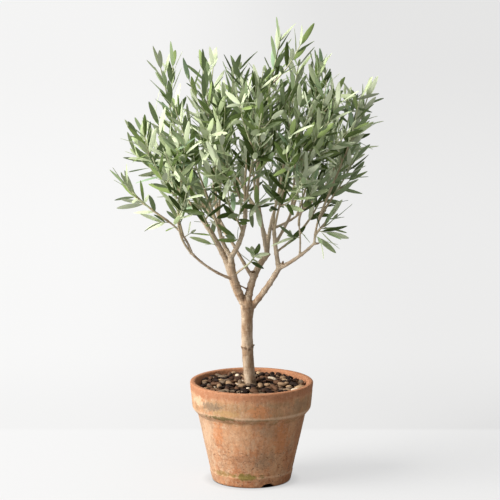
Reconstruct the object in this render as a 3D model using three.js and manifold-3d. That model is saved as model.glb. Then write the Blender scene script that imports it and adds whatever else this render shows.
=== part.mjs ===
// Potted olive tree: a small clear-stemmed olive in a weathered clay pot dressed with pebbles.
// Millimetres, +Z up. The origin is the middle of the pot's flat underside, and -Y is the front.
// Every limb and every mass of foliage is one closed solid in its own named mesh.
import * as THREE from "three";
import { ConvexGeometry } from "three/addons/geometries/ConvexGeometry.js";
import { mergeVertices } from "three/addons/utils/BufferGeometryUtils.js";
import Module from "manifold-3d";

const wasm = await Module();
wasm.setup();

// ---- Driving sizes -------------------------------------------------------------------------
const GAP = 0.3; // air between two solids that touch on the real plant
const UP = new THREE.Vector3(0, 0, 1);

const POT = {
  height: 212.5,
  footRadius: 82.5,
  bodyTopRadius: 113.5,
  collarFootRadius: 124.5,
  rimRadius: 130,
  collarBottom: 144, // where the body meets the collar
  collarEdge: 156.5, // the collar's lower outer corner
  rimWidth: 11.5,
  lipRound: 3.5,
  wall: 10,
  floor: 12,
  sides: 32,
};
const NOTCH = { heading: 25, width: 27, height: 7.5, depth: 26 }; // drain notch in the foot
const SOIL_TOP = 186;
const PEBBLES = { edgeTop: 201, middleTop: 206, size: 26, spread: 29, sunk: 4 };

const TRUNK = {
  foot: [1.5, 8],
  top: [-8, 0, 374],
  bow: [-5, 0, 0],
  radius: 12,
  sides: 10,
  steps: 13,
  sunk: 8, // how far its centreline starts under the soil, before the flat cut
};
const FLARE = { size: 4.5, fall: 13 }; // root flare over the foot
const KNUCKLE = { height: 281, size: 2.8, spread: 8 }; // ring of old buds
const CROTCH = { below: 24, size: 1.6 }; // swelling under the fork

// Boughs: the limb each one leaves and the share of that limb's length where it leaves it, its tip,
// how far its middle bows off the straight line, and its radius at either end.
const BOUGHS = {
  left_bough: { from: "trunk", at: 0.96, tip: [-43, -14, 484], bow: [-8, 0, -2], r: [7.8, 6.2] },
  centre_bough: { from: "trunk", at: 0.96, tip: [36, 24, 482], bow: [-10, -3, 6], r: [7.2, 5.8] },
  right_bough: { from: "trunk", at: 0.93, tip: [60, -26, 463], bow: [2, 0, -3], r: [6.2, 5.3] },
  mid_left_limb: { from: "left_bough", at: 0.96, tip: [-13, -45, 608], bow: [10, -3, -6], r: [5.3, 4.2] },
  left_inner_limb: { from: "left_bough", at: 0.96, tip: [-69, 8, 545], bow: [-5, 0, 0], r: [4.8, 3.8] },
  outer_left_limb: { from: "left_bough", at: 0.42, tip: [-122, 15, 581], bow: [8, 0, 2], r: [6.2, 4] },
  low_left_limb: { from: "left_bough", at: 0.56, tip: [-124, -36, 491], bow: [-3, 0, -6], r: [3.2, 2.6] },
  low_left_arm: { from: "low_left_limb", at: 1, tip: [-172, -54, 562], bow: [6, 0, 4], r: [2.5, 2.0] },
  back_left_limb: { from: "centre_bough", at: 0.5, tip: [-64, 62, 540], bow: [0, 2, -2], r: [3.9, 3.0] },
  centre_inner_limb: { from: "centre_bough", at: 0.96, tip: [15, 20, 584], bow: [-1, 0, 2], r: [4.5, 3.7] },
  centre_right_limb: { from: "centre_bough", at: 0.96, tip: [47, 82, 556], bow: [-2, 0, 2], r: [4.4, 3.3] },
  back_limb: { from: "centre_right_limb", at: 0.3, tip: [12, 112, 569], bow: [-2, 3, -2], r: [3.1, 2.4] },
  right_inner_limb: { from: "right_bough", at: 0.95, tip: [46, -28, 554], bow: [-2, 0, 0], r: [5.0, 3.9] },
  right_arm: { from: "right_bough", at: 0.95, tip: [130, -60, 517], bow: [1, 0, -4], r: [4.4, 2.8] },
  right_back_limb: { from: "right_inner_limb", at: 0.55, tip: [87, 4, 582], bow: [3, 0, 0], r: [3.5, 2.7] },
  side_limb: { from: "right_inner_limb", at: 0.36, tip: [101, 12, 529], bow: [0, 0, -2], r: [2.4, 1.9] },
  back_side_limb: { from: "centre_right_limb", at: 0.6, tip: [112, 92, 562], bow: [2, 2, -5], r: [3, 2.3] },
  right_rising_limb: { from: "right_arm", at: 0.55, tip: [98, -60, 554], bow: [2, 0, 0], r: [2.2, 1.8] },
  right_outer_limb: { from: "right_arm", at: 1, tip: [143, -70, 582], bow: [-3, 0, 0], r: [2.5, 2.0] },
};
const LIMB_SIDES = 6;
const LIMB_STEP = 28; // length of one straight stretch

// Masses of foliage: the limb that carries each and the share of it where the stem leaves, and
// where the stem's tip stands: its heading round the plant (0 in front, 90 to the right), its
// reach from the pot's axis and its height. Side shoots leave the stem on the way.
const MASSES = {
  low_left: { from: "low_left_arm", at: 1, heading: 282, reach: 257, height: 629, shoots: 2 },
  left_under: { from: "low_left_arm", at: 0.5, heading: 289, reach: 172, height: 640, shoots: 2 },
  left: { from: "outer_left_limb", at: 1, heading: 268, reach: 234, height: 721, shoots: 3 },
  upper_left: { from: "outer_left_limb", at: 0.88, heading: 273, reach: 187, height: 872, shoots: 4 },
  left_high: { from: "left_inner_limb", at: 0.8, heading: 294, reach: 170, height: 797, shoots: 3 },
  left_top: { from: "left_inner_limb", at: 1, heading: 248, reach: 107, height: 860, shoots: 4 },
  left_front: { from: "low_left_limb", at: 1, heading: 318, reach: 203, height: 731, shoots: 3 },
  left_back: { from: "back_left_limb", at: 0.75, heading: 238, reach: 238, height: 700, shoots: 3 },
  mid_top: { from: "back_left_limb", at: 1, heading: 208, reach: 79, height: 850, shoots: 4 },
  centre_top: { from: "mid_left_limb", at: 1, heading: 24, reach: 33, height: 837, shoots: 4 },
  front: { from: "mid_left_limb", at: 0.86, heading: 6, reach: 146, height: 803, shoots: 4 },
  front_left: { from: "mid_left_limb", at: 0.7, heading: 341, reach: 180, height: 735, shoots: 3 },
  tuft: { from: "centre_inner_limb", at: 0.88, heading: 8, reach: 80, height: 604, shoots: 0, scale: 0.8 },
  inner_left: { from: "left_inner_limb", at: 0.9, heading: 300, reach: 66, height: 808, shoots: 3 },
  inner_right: { from: "right_back_limb", at: 0.8, heading: 62, reach: 112, height: 796, shoots: 3 },
  top: { from: "centre_inner_limb", at: 1, heading: 105, reach: 60, height: 925, shoots: 4 },
  right_top: { from: "centre_right_limb", at: 1, heading: 126, reach: 120, height: 866, shoots: 3 },
  right_crest: { from: "right_back_limb", at: 1, heading: 88, reach: 137, height: 865, shoots: 4 },
  right_front: { from: "right_inner_limb", at: 1, heading: 54, reach: 214, height: 811, shoots: 4 },
  front_right: { from: "right_inner_limb", at: 0.8, heading: 27, reach: 188, height: 728, shoots: 3 },
  right: { from: "right_outer_limb", at: 1, heading: 94, reach: 240, height: 806, shoots: 4 },
  right_under: { from: "right_outer_limb", at: 0.7, heading: 79, reach: 212, height: 682, shoots: 3 },
  low_right: { from: "right_outer_limb", at: 0.25, heading: 65, reach: 187, height: 587, shoots: 1 },
  right_inner: { from: "right_rising_limb", at: 1, heading: 56, reach: 168, height: 652, shoots: 3 },
  right_back: { from: "back_side_limb", at: 1, heading: 113, reach: 228, height: 706, shoots: 3 },
  back_right: { from: "back_side_limb", at: 0.75, heading: 139, reach: 222, height: 758, shoots: 4 },
  back: { from: "back_limb", at: 1, heading: 180, reach: 214, height: 722, shoots: 4 },
  back_left: { from: "back_limb", at: 0.75, heading: 212, reach: 214, height: 756, shoots: 4 },
  back_top: { from: "back_limb", at: 0.9, heading: 170, reach: 142, height: 815, shoots: 4 },
  back_inner: { from: "centre_right_limb", at: 0.7, heading: 160, reach: 222, height: 650, shoots: 3 },
  skirt_front: { from: "mid_left_limb", at: 0.45, heading: 332, reach: 118, height: 626, shoots: 2 },
  skirt_right: { from: "side_limb", at: 1, heading: 98, reach: 158, height: 622, shoots: 2 },
  skirt_left: { from: "outer_left_limb", at: 0.62, heading: 296, reach: 128, height: 616, shoots: 2 },
  skirt_back: { from: "back_limb", at: 0.6, heading: 188, reach: 200, height: 612, shoots: 2 },
  skirt_back_left: { from: "back_left_limb", at: 0.5, heading: 226, reach: 166, height: 612, shoots: 2 },
  sprout: { from: "left_bough", at: 0.62, heading: 5, reach: 33, height: 476, shoots: 0, scale: 0.55 },
};
const STEM = {
  radius: [2.2, 1.3],
  steps: 4,
  outward: 0.25, // how far its tip leans out from straight up
  bareShare: 0.15, // the foot of it that has no leaves
};
const SHOOT = {
  turns: [0, 120, 240], // headings round the stem that are tried until one is free
  first: 0.26, // the share of the stem where the lowest one leaves
  last: 0.84,
  length: 0.5, // share of the stem's length
  opening: 42,
  lift: 0.9,
  radius: [1.6, 1.2],
  steps: 1,
  bareShare: 0.3,
};
const LEAF = {
  length: 70,
  width: 17,
  pairGap: 43, // from one pair to the next along a twig
  rib: { at: 0.2, rise: 1.1 },
  widest: 0.45,
  belly: { at: 0.62, drop: 1.2 },
};
const OPENING = { low: 58, tip: 24, folds: [1, 0.7, 0.45] }; // degrees to the shoot, and shares to try
const TURN_TO_LIGHT = 0.55; // how far a blade turns its upper side to the sky
const CELL_MARGIN = 1.4; // air kept at the border between two masses
const TIP_RISE = 62; // no leaf stands further than this above its stem's tip,
const TIP_REACH = 48; // nor further than this outside it, or outside the crown's core
const CORE_REACH = 100;
const LIMB_CLEARANCE = 1.5;
const TWIG_SIDES = 3;
const GOLDEN_ANGLE = 137.5;

// ---- Finishes ------------------------------------------------------------------------------
const clay = new THREE.MeshStandardMaterial({ color: 0xb9784f, roughness: 0.85, metalness: 0 });
const soil = new THREE.MeshStandardMaterial({ color: 0x3b2c22, roughness: 1, metalness: 0 });
const stones = new THREE.MeshStandardMaterial({ color: 0x6b5f55, roughness: 0.6, metalness: 0 });
const bark = new THREE.MeshStandardMaterial({ color: 0xa48a6c, roughness: 0.8, metalness: 0 });
const leaves = new THREE.MeshStandardMaterial({ color: 0x71845a, roughness: 0.6, metalness: 0 });

// ---- Helpers -------------------------------------------------------------------------------
const radians = (degrees) => (degrees * Math.PI) / 180;
const mix = (a, b, share) => a + (b - a) * share;

// A repeatable number from 0 to 1 for each pair of whole numbers.
function dice(a, b) {
  const wave = Math.sin(a * 127.1 + b * 311.7) * 43758.5453;
  return wave - Math.floor(wave);
}

function solidOf(geometry) {
  const bare = geometry.index ? geometry.toNonIndexed() : geometry.clone();
  bare.deleteAttribute("normal");
  bare.deleteAttribute("uv");
  const merged = mergeVertices(bare, 1e-4);
  const vertProperties = merged.attributes.position.array;
  const triVerts = new Uint32Array(merged.index.array);
  return new wasm.Manifold(new wasm.Mesh({ numProp: 3, vertProperties, triVerts }));
}

// The largest body of a solid: loose scraps go, and sealed hollows are filled.
function largestBody(solid) {
  const bodies = solid.decompose();
  return bodies.reduce((best, body) => (body.volume() > best.volume() ? body : best));
}

function meshOf(name, solid, material) {
  const { numProp, vertProperties, triVerts } = solid.getMesh();
  const geometry = new THREE.BufferGeometry();
  geometry.setAttribute("position", new THREE.BufferAttribute(vertProperties, numProp));
  geometry.setIndex(new THREE.BufferAttribute(triVerts, 1));
  geometry.computeVertexNormals();
  const mesh = new THREE.Mesh(geometry, material);
  mesh.name = name;
  return mesh;
}

// A closed round bar carried along a curve: a cylinder whose rings are set out on the curve's
// own frames, with a radius for each share of its length.
function barAlong(curve, radiusAt, sides, steps) {
  const bar = new THREE.CylinderGeometry(1, 1, 1, sides, steps);
  const frames = curve.computeFrenetFrames(steps, false);
  const place = bar.attributes.position;
  const v = new THREE.Vector3();
  for (let i = 0; i < place.count; i++) {
    const ring = Math.round((place.getY(i) + 0.5) * steps);
    const radius = radiusAt(ring / steps);
    v.copy(curve.getPointAt(ring / steps));
    v.addScaledVector(frames.binormals[ring], place.getX(i) * radius);
    v.addScaledVector(frames.normals[ring], place.getZ(i) * radius);
    place.setXYZ(i, v.x, v.y, v.z);
  }
  return bar;
}

// A limb's centreline: the straight line to its tip, with its middle bowed off it.
function bowedCurve(start, tip, bow) {
  const middle = start.clone().lerp(tip, 0.5).add(bow);
  const control = middle.multiplyScalar(2).sub(start.clone().lerp(tip, 0.5));
  return new THREE.QuadraticBezierCurve3(start, control, tip);
}

// ---- Pot, soil and pebbles -----------------------------------------------------------------
// The inner wall's radius at a height: one straight cone from the floor to the lip.
function innerRadius(z) {
  const share = (z - POT.floor) / (POT.height - POT.lipRound - POT.floor);
  return mix(POT.footRadius - POT.wall, POT.rimRadius - POT.rimWidth, share);
}

// A round block that fills the pot's inside from one height to another, clear of the wall.
function fillOf(bottom, top) {
  const edge = (z) => new THREE.Vector2(innerRadius(z) - GAP, z);
  const points = [new THREE.Vector2(0, bottom), edge(bottom), edge(top), new THREE.Vector2(0, top)];
  return solidOf(new THREE.LatheGeometry(points, POT.sides).rotateX(Math.PI / 2));
}

function makePot() {
  const { height, rimRadius, lipRound, rimWidth } = POT;
  const lip = (centre, from, to) =>
    [0, 0.5, 1].map((share) => {
      const angle = radians(mix(from, to, share));
      return [centre + lipRound * Math.cos(angle), height - lipRound + lipRound * Math.sin(angle)];
    });
  const profile = [
    [0, 0],
    [POT.footRadius - 2, 0],
    [POT.footRadius, 2],
    [POT.bodyTopRadius, POT.collarBottom],
    [POT.collarFootRadius - 1.5, POT.collarEdge - 1.5],
    [POT.collarFootRadius, POT.collarEdge],
    ...lip(rimRadius - lipRound, 0, 90),
    ...lip(rimRadius - rimWidth + lipRound, 90, 180),
    [innerRadius(POT.floor), POT.floor],
    [0, POT.floor],
  ];
  const outline = profile.map(([r, z]) => new THREE.Vector2(r, z));
  const shell = solidOf(new THREE.LatheGeometry(outline, POT.sides).rotateX(Math.PI / 2));
  const heading = radians(NOTCH.heading);
  const notch = new THREE.CylinderGeometry(NOTCH.width / 2, NOTCH.width / 2, NOTCH.depth, 10);
  notch.scale(1, 1, (2 * NOTCH.height) / NOTCH.width);
  notch.translate(0, -POT.footRadius, 0);
  notch.rotateZ(heading);
  return shell.subtract(solidOf(notch));
}

// The pebbles' top surface, a little mounded towards the middle.
function pebbleTop(radius) {
  const share = radius / innerRadius(PEBBLES.edgeTop);
  return mix(PEBBLES.middleTop, PEBBLES.edgeTop, share * share);
}

// One layer of half-sunk flattened stones on a bed, set out in rings and cut clear of the trunk.
function makePebbles(trunkClear) {
  const { size, spread, sunk } = PEBBLES;
  const foot = SOIL_TOP + GAP;
  const edge = innerRadius(PEBBLES.edgeTop) - size / 2;
  const parts = [fillOf(foot, PEBBLES.edgeTop - sunk)];
  const rings = Math.floor(edge / spread);
  for (let ring = 1; ring <= rings; ring++) {
    const radius = edge - (rings - ring) * spread;
    const count = Math.round((2 * Math.PI * radius) / spread);
    for (let i = 0; i < count; i++) {
      const seed = ring * 100 + i;
      const stone = new THREE.SphereGeometry(size / 2, 5, 3).rotateX(Math.PI / 2);
      stone.scale(mix(0.9, 1.05, dice(seed, 1)), mix(0.7, 1, dice(seed, 2)), mix(0.5, 0.8, dice(seed, 3)));
      stone.rotateZ(dice(seed, 4) * Math.PI);
      stone.translate(radius, 0, pebbleTop(radius) - sunk);
      stone.rotateZ((2 * Math.PI * (i + dice(seed, 5) * 0.3)) / count);
      parts.push(solidOf(stone));
    }
  }
  const room = fillOf(foot, PEBBLES.middleTop + size);
  return largestBody(wasm.Manifold.union(parts).intersect(room).subtract(trunkClear));
}

// ---- Trunk and boughs ----------------------------------------------------------------------
const limbs = new Map(); // name -> { curve, radiusAt, solid, clear }

function addLimb(name, curve, radiusAt, sides, steps) {
  const shape = (extra) => solidOf(barAlong(curve, (share) => radiusAt(share) + extra, sides, steps));
  let solid = shape(0);
  for (const other of limbs.values()) solid = solid.subtract(other.clear);
  solid = largestBody(solid);
  const clear = shape(GAP / Math.cos(Math.PI / sides));
  limbs.set(name, { curve, radiusAt, solid, clear });
}

function addTrunk() {
  const start = new THREE.Vector3(...TRUNK.foot, SOIL_TOP - TRUNK.sunk);
  const curve = bowedCurve(start, new THREE.Vector3(...TRUNK.top), new THREE.Vector3(...TRUNK.bow));
  const radiusAt = (share) => {
    const z = mix(start.z, TRUNK.top[2], share);
    const flare = FLARE.size * Math.exp((SOIL_TOP - z) / FLARE.fall);
    const knuckle = KNUCKLE.size * Math.exp(-(((z - KNUCKLE.height) / KNUCKLE.spread) ** 2));
    const crotch = CROTCH.size * Math.max(0, 1 - (TRUNK.top[2] - z) / CROTCH.below);
    const rounding = share > 0.99 ? 0.62 : 1;
    return (TRUNK.radius + flare + knuckle + crotch) * rounding;
  };
  addLimb("trunk", curve, radiusAt, TRUNK.sides, TRUNK.steps);
  const trunk = limbs.get("trunk");
  trunk.solid = trunk.solid.trimByPlane([0, 0, 1], SOIL_TOP + GAP);
}

function addBough(name, { from, at, tip, bow, r }) {
  const parent = limbs.get(from);
  const start = parent.curve.getPointAt(at);
  if (at === 1) start.addScaledVector(parent.curve.getTangentAt(1), GAP);
  const curve = bowedCurve(start, new THREE.Vector3(...tip), new THREE.Vector3(...bow));
  const steps = Math.max(3, Math.round(curve.getLength() / LIMB_STEP));
  addLimb(name, curve, (share) => mix(r[0], r[1], share), LIMB_SIDES, steps);
}

// ---- Foliage -------------------------------------------------------------------------------
const tipOf = ({ heading, reach, height }) => {
  const angle = radians(heading);
  return new THREE.Vector3(reach * Math.sin(angle), -reach * Math.cos(angle), height);
};

// A stem leaves its limb along the limb's own run, or turns out of its side, and sweeps to its tip.
function stemCurve(mass) {
  const { curve } = limbs.get(mass.from);
  const start = curve.getPointAt(mass.at);
  const tip = tipOf(mass);
  const reach = tip.distanceTo(start) / 3;
  const leaving = curve.getTangentAt(mass.at);
  const towards = tip.clone().sub(start).normalize();
  if (mass.at < 1) leaving.lerp(towards, 0.75).normalize();
  else start.addScaledVector(leaving, GAP);
  const outward = new THREE.Vector3(tip.x, tip.y, 0).normalize().multiplyScalar(STEM.outward);
  const arriving = towards.add(UP).add(outward).normalize();
  const first = start.clone().addScaledVector(leaving, reach);
  return new THREE.CubicBezierCurve3(start, first, tip.clone().addScaledVector(arriving, -reach), tip);
}

// A unit vector square to a direction, turned by an angle round it.
function sideOf(direction, angle) {
  const level = new THREE.Vector3().crossVectors(direction, UP);
  if (level.lengthSq() < 1e-6) level.set(1, 0, 0);
  return level.normalize().applyAxisAngle(direction, angle);
}

// A direction that has turned away from another by an opening angle, towards one side of it.
function opened(along, around, opening) {
  const turned = along.clone().multiplyScalar(Math.cos(opening));
  return turned.addScaledVector(sideOf(along, around), Math.sin(opening));
}

// A side shoot opens away from the stem and lifts towards the light.
function shootCurve(stem, share, angle, length) {
  const start = stem.getPointAt(share);
  const out = opened(stem.getTangentAt(share), angle, radians(SHOOT.opening));
  const end = out.clone().addScaledVector(UP, SHOOT.lift).normalize();
  const bend = start.clone().addScaledVector(out, length * 0.45);
  const tip = bend.clone().addScaledVector(end, length * 0.55);
  return new THREE.QuadraticBezierCurve3(start, bend, tip);
}

// The axes of a leaf that leaves a shoot: along the blade, across it and square to it. Its upper
// side faces the shoot, and turns part of the way to the light.
function leafAxes(along, around, opening) {
  const blade = opened(along, around, opening);
  const face = opened(along, around, opening - Math.PI / 2).addScaledVector(UP, TURN_TO_LIGHT);
  const across = new THREE.Vector3().crossVectors(face, blade).normalize();
  return [blade, across, new THREE.Vector3().crossVectors(blade, across)];
}

const taper = ([thick, thin]) => (share) => mix(thick, thin, share);

// Every leaf of one shoot, in opposite pairs that turn a right angle from pair to pair.
function leavesOn(shoot, seed, bareShare, scale = 1) {
  const pairs = Math.max(1, Math.round((shoot.getLength() * (1 - bareShare)) / LEAF.pairGap));
  const placed = [];
  for (let pair = 0; pair <= pairs; pair++) {
    const share = mix(bareShare, 0.985, pair / pairs);
    const size = pair === pairs ? 0.85 : mix(0.85, 1.05, dice(seed, pair + 20));
    for (let side = 0; side < 2; side++) {
      const scatter = (from) => dice(seed, pair * 2 + side + from) - 0.5;
      placed.push({
        root: shoot.getPointAt(share),
        along: shoot.getTangentAt(share),
        around: radians(90 * pair + 180 * side + 360 * dice(seed, 3) + 24 * scatter(40)),
        opening: radians(mix(OPENING.low, OPENING.tip, share) + 14 * scatter(60)),
        length: LEAF.length * size * scale,
      });
    }
  }
  return placed;
}

// A blade of eight faces, a little arched: root and tip in points, a rib on top near the root,
// two edges at its widest place and a belly under its outer half.
function leafGeometry({ root, length }, axes) {
  const { rib, widest, belly } = LEAF;
  const width = LEAF.width * Math.min(1, (1.2 * length) / LEAF.length);
  const blade = new ConvexGeometry([
    new THREE.Vector3(0, 0, 0),
    new THREE.Vector3(length * rib.at, 0, rib.rise),
    new THREE.Vector3(length * widest, width / 2, -belly.drop),
    new THREE.Vector3(length * widest, -width / 2, -belly.drop),
    new THREE.Vector3(length * belly.at, 0, -belly.drop * 1.1),
    new THREE.Vector3(length, 0, 0),
  ]);
  return blade.applyMatrix4(new THREE.Matrix4().makeBasis(...axes).setPosition(root));
}

// The points of a leaf that have to stay in its mass's own space.
function leafPoints({ root, length }, [blade, across]) {
  const at = (share, side) =>
    root.clone().addScaledVector(blade, length * share).addScaledVector(across, (LEAF.width / 2) * side);
  return [at(0.25, 0), at(LEAF.widest, -1), at(LEAF.widest, 1), at(0.75, 0.5), at(0.75, -0.5), at(1, 0)];
}

// Points set out evenly along a curve.
const alongCurve = (curve, count) =>
  Array.from({ length: count + 1 }, (_, i) => curve.getPointAt(i / count));

function distanceToPath(point, path) {
  const line = new THREE.Line3();
  const nearest = new THREE.Vector3();
  let best = Infinity;
  for (let i = 1; i < path.length; i++) {
    line.set(path[i - 1], path[i]).closestPointToPoint(point, true, nearest);
    best = Math.min(best, nearest.distanceTo(point));
  }
  return best;
}

// A mass's own space is what lies nearer to its stem than to any other mass's stem.
function inOwnSpace(point, own) {
  const mine = distanceToPath(point, stemPaths.get(own)) + CELL_MARGIN;
  for (const [name, path] of stemPaths) {
    if (name !== own && distanceToPath(point, path) < mine) return false;
  }
  return true;
}

function clearOfLimbs(point) {
  return limbPaths.every(({ path, radius }) => distanceToPath(point, path) > radius + LIMB_CLEARANCE);
}

// Two blades keep apart, unless they are a pair and meet in their root.
const apart = (a, b) => a.root.equals(b.root) || a.solid.intersect(b.solid).isEmpty();

function makeMass(name, mass, index) {
  const stem = stemCurve(mass);
  const ceiling = mass.height + TIP_RISE;
  const reach = Math.max(mass.reach, CORE_REACH) + TIP_REACH;
  const fits = (point) =>
    point.z < ceiling &&
    Math.hypot(point.x, point.y) < reach &&
    inOwnSpace(point, name) &&
    clearOfLimbs(point);
  const parts = [barAlong(stem, taper(STEM.radius), TWIG_SIDES, STEM.steps)];
  const growths = leavesOn(stem, index, STEM.bareShare, mass.scale);
  for (let i = 0; i < mass.shoots; i++) {
    const seed = index * 16 + i + 100;
    const share = mix(SHOOT.first, SHOOT.last, (i + 0.5 * dice(seed, 1)) / mass.shoots);
    const length = stem.getLength() * SHOOT.length * mix(1.1, 0.7, share) * mix(0.8, 1.15, dice(seed, 2));
    const heading = GOLDEN_ANGLE * i + 360 * dice(index, 2);
    const shoot = SHOOT.turns
      .map((turn) => shootCurve(stem, share, radians(heading + turn), length))
      .find((curve) => alongCurve(curve, 4).slice(1).every(fits));
    if (!shoot) continue;
    parts.push(barAlong(shoot, taper(SHOOT.radius), TWIG_SIDES, SHOOT.steps));
    growths.push(...leavesOn(shoot, seed, SHOOT.bareShare));
  }
  const blades = [];
  for (const leaf of growths) {
    const blade = OPENING.folds
      .map((fold) => leafAxes(leaf.along, leaf.around, leaf.opening * fold))
      .filter((axes) => leafPoints(leaf, axes).every(fits))
      .map((axes) => ({ root: leaf.root, solid: solidOf(leafGeometry(leaf, axes)) }))
      .find((tried) => blades.every((other) => apart(tried, other)));
    if (blade) blades.push(blade);
  }
  let solid = wasm.Manifold.union([...parts.map(solidOf), ...blades.map((blade) => blade.solid)]);
  for (const { clear } of limbs.values()) solid = solid.subtract(clear);
  return largestBody(solid);
}

// ---- The plant -----------------------------------------------------------------------------
addTrunk();
for (const [name, bough] of Object.entries(BOUGHS)) addBough(name, bough);

const plant = new THREE.Group();
plant.add(meshOf("pot", makePot(), clay));
plant.add(meshOf("soil", fillOf(POT.floor + GAP, SOIL_TOP), soil));
plant.add(meshOf("pebbles", makePebbles(limbs.get("trunk").clear), stones));
for (const [name, { solid }] of limbs) plant.add(meshOf(name, solid, bark));

const stemPaths = new Map();
for (const [name, mass] of Object.entries(MASSES)) stemPaths.set(name, alongCurve(stemCurve(mass), 8));
const limbPaths = [...limbs.values()].map(({ curve, radiusAt }) => ({
  path: alongCurve(curve, 8),
  radius: Math.max(radiusAt(0.1), radiusAt(0.5)),
}));
Object.entries(MASSES).forEach(([name, mass], index) => {
  plant.add(meshOf(`foliage_${name}`, makeMass(name, mass, index), leaves));
});

export default plant;
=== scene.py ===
"""Potted olive tree: a small clear-stemmed olive in a weathered clay pot dressed with pebbles.

The file is laid out as an add-on and is run as a script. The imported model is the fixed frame. The
trunk, the boughs, the twigs and the leaves grow by the rule that made its solids, carried on to
finer twigs and to leaves of natural size. Lengths in the tables are millimetres, and every mesh and
every setting is in metres, with +Z up and -Y the front.
"""

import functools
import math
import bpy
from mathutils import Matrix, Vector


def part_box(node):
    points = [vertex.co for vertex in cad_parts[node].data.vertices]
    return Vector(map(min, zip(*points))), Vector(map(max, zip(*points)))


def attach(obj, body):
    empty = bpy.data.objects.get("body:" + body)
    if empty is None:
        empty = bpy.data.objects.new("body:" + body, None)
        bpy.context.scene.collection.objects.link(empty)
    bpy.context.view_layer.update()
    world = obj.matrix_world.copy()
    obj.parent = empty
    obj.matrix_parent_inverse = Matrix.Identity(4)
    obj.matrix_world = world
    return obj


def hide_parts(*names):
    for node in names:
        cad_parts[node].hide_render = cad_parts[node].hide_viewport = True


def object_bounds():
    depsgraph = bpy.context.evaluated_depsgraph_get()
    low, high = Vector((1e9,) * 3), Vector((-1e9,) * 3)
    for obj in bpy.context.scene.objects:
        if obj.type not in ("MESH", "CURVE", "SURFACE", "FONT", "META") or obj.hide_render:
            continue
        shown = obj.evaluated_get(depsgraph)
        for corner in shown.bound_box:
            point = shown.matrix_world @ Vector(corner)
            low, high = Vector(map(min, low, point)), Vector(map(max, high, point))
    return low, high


bl_info = {
    "name": "Potted Olive Tree",
    "version": (1, 0, 0),
    "blender": (4, 5, 0),
    "location": "View3D > Sidebar > Olive Tree",
    "description": "Makes a small olive tree in a weathered clay pot, piece by piece",
    "category": "Object",
}

from collections import namedtuple

import bpy
import numpy as np
from bpy.props import FloatProperty, FloatVectorProperty, IntProperty, PointerProperty
from mathutils import Vector

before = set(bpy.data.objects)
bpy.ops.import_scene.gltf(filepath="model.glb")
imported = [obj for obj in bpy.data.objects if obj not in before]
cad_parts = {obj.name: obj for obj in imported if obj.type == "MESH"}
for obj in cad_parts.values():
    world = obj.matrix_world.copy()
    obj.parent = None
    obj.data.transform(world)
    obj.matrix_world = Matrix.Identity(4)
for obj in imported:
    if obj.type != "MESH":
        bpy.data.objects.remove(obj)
CAD_BOX = [list(corner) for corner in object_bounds()]

MM = 0.001
RIM_RADIUS, POT_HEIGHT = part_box("pot")[1].x / MM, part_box("pot")[1].z / MM
SOIL_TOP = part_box("soil")[1].z / MM
UP = np.array([0.0, 0.0, 1.0])

# ---- The plant's frame of growth, in millimetres -------------------------------------------
TRUNK_FOOT = (1.5, 8, SOIL_TOP - 8)
TRUNK_TOP = (-8, 0, 374)
TRUNK_BOW = (-5, 0, 0)
TRUNK_RADIUS = 12
FLARE = (2.2, 12)  # extra radius at the soil, and the height over which it dies away
KNUCKLE = (284.5, 1.3, 3.4)  # height of the ring of old buds, its size and its spread
CROTCH = (28, 2.8)  # depth of the swelling under the fork, and its size

# Limb: (the limb it leaves, the share of that limb's length, its tip, the bow of its middle off
# the straight line, its radius at foot and tip).
BOUGHS = {
    "left_bough": ("trunk", 0.96, (-43, -14, 484), (-8, 0, -2), (8.8, 6.6)),
    "centre_bough": ("trunk", 0.96, (36, 24, 482), (-10, -3, 6), (8.3, 6.2)),
    "right_bough": ("trunk", 0.93, (60, -26, 463), (2, 0, -3), (6.8, 5.4)),
    "mid_left_limb": ("left_bough", 0.96, (-13, -45, 608), (10, -3, -6), (5.3, 4.2)),
    "left_inner_limb": ("left_bough", 0.96, (-69, 8, 545), (-5, 0, 0), (4.8, 3.8)),
    "outer_left_limb": ("left_bough", 0.42, (-122, 15, 581), (8, 0, 2), (7.2, 4.3)),
    "low_left_limb": ("left_bough", 0.56, (-124, -36, 491), (-3, 0, -6), (3.2, 2.6)),
    "low_left_arm": ("low_left_limb", 1, (-172, -54, 562), (6, 0, 4), (2.5, 2.0)),
    "back_left_limb": ("centre_bough", 0.5, (-64, 62, 540), (0, 2, -2), (3.9, 3.0)),
    "centre_inner_limb": ("centre_bough", 0.96, (15, 20, 584), (-1, 0, 2), (4.5, 3.7)),
    "centre_right_limb": ("centre_bough", 0.96, (47, 82, 556), (-2, 0, 2), (4.4, 3.3)),
    "back_limb": ("centre_right_limb", 0.3, (12, 112, 569), (-2, 3, -2), (3.1, 2.4)),
    "right_inner_limb": ("right_bough", 0.95, (46, -28, 554), (-2, 0, 0), (5.0, 3.9)),
    "right_arm": ("right_bough", 0.95, (130, -60, 517), (1, 0, -4), (4.4, 2.8)),
    "right_back_limb": ("right_inner_limb", 0.55, (87, 4, 582), (3, 0, 0), (3.5, 2.7)),
    "side_limb": ("right_inner_limb", 0.36, (101, 12, 529), (0, 0, -2), (2.4, 1.9)),
    "back_side_limb": ("centre_right_limb", 0.6, (112, 92, 562), (2, 2, -5), (3, 2.3)),
    "right_rising_limb": ("right_arm", 0.55, (98, -60, 554), (2, 0, 0), (2.2, 1.8)),
    "right_outer_limb": ("right_arm", 1, (143, -70, 582), (-3, 0, 0), (2.5, 2.0)),
}

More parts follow.
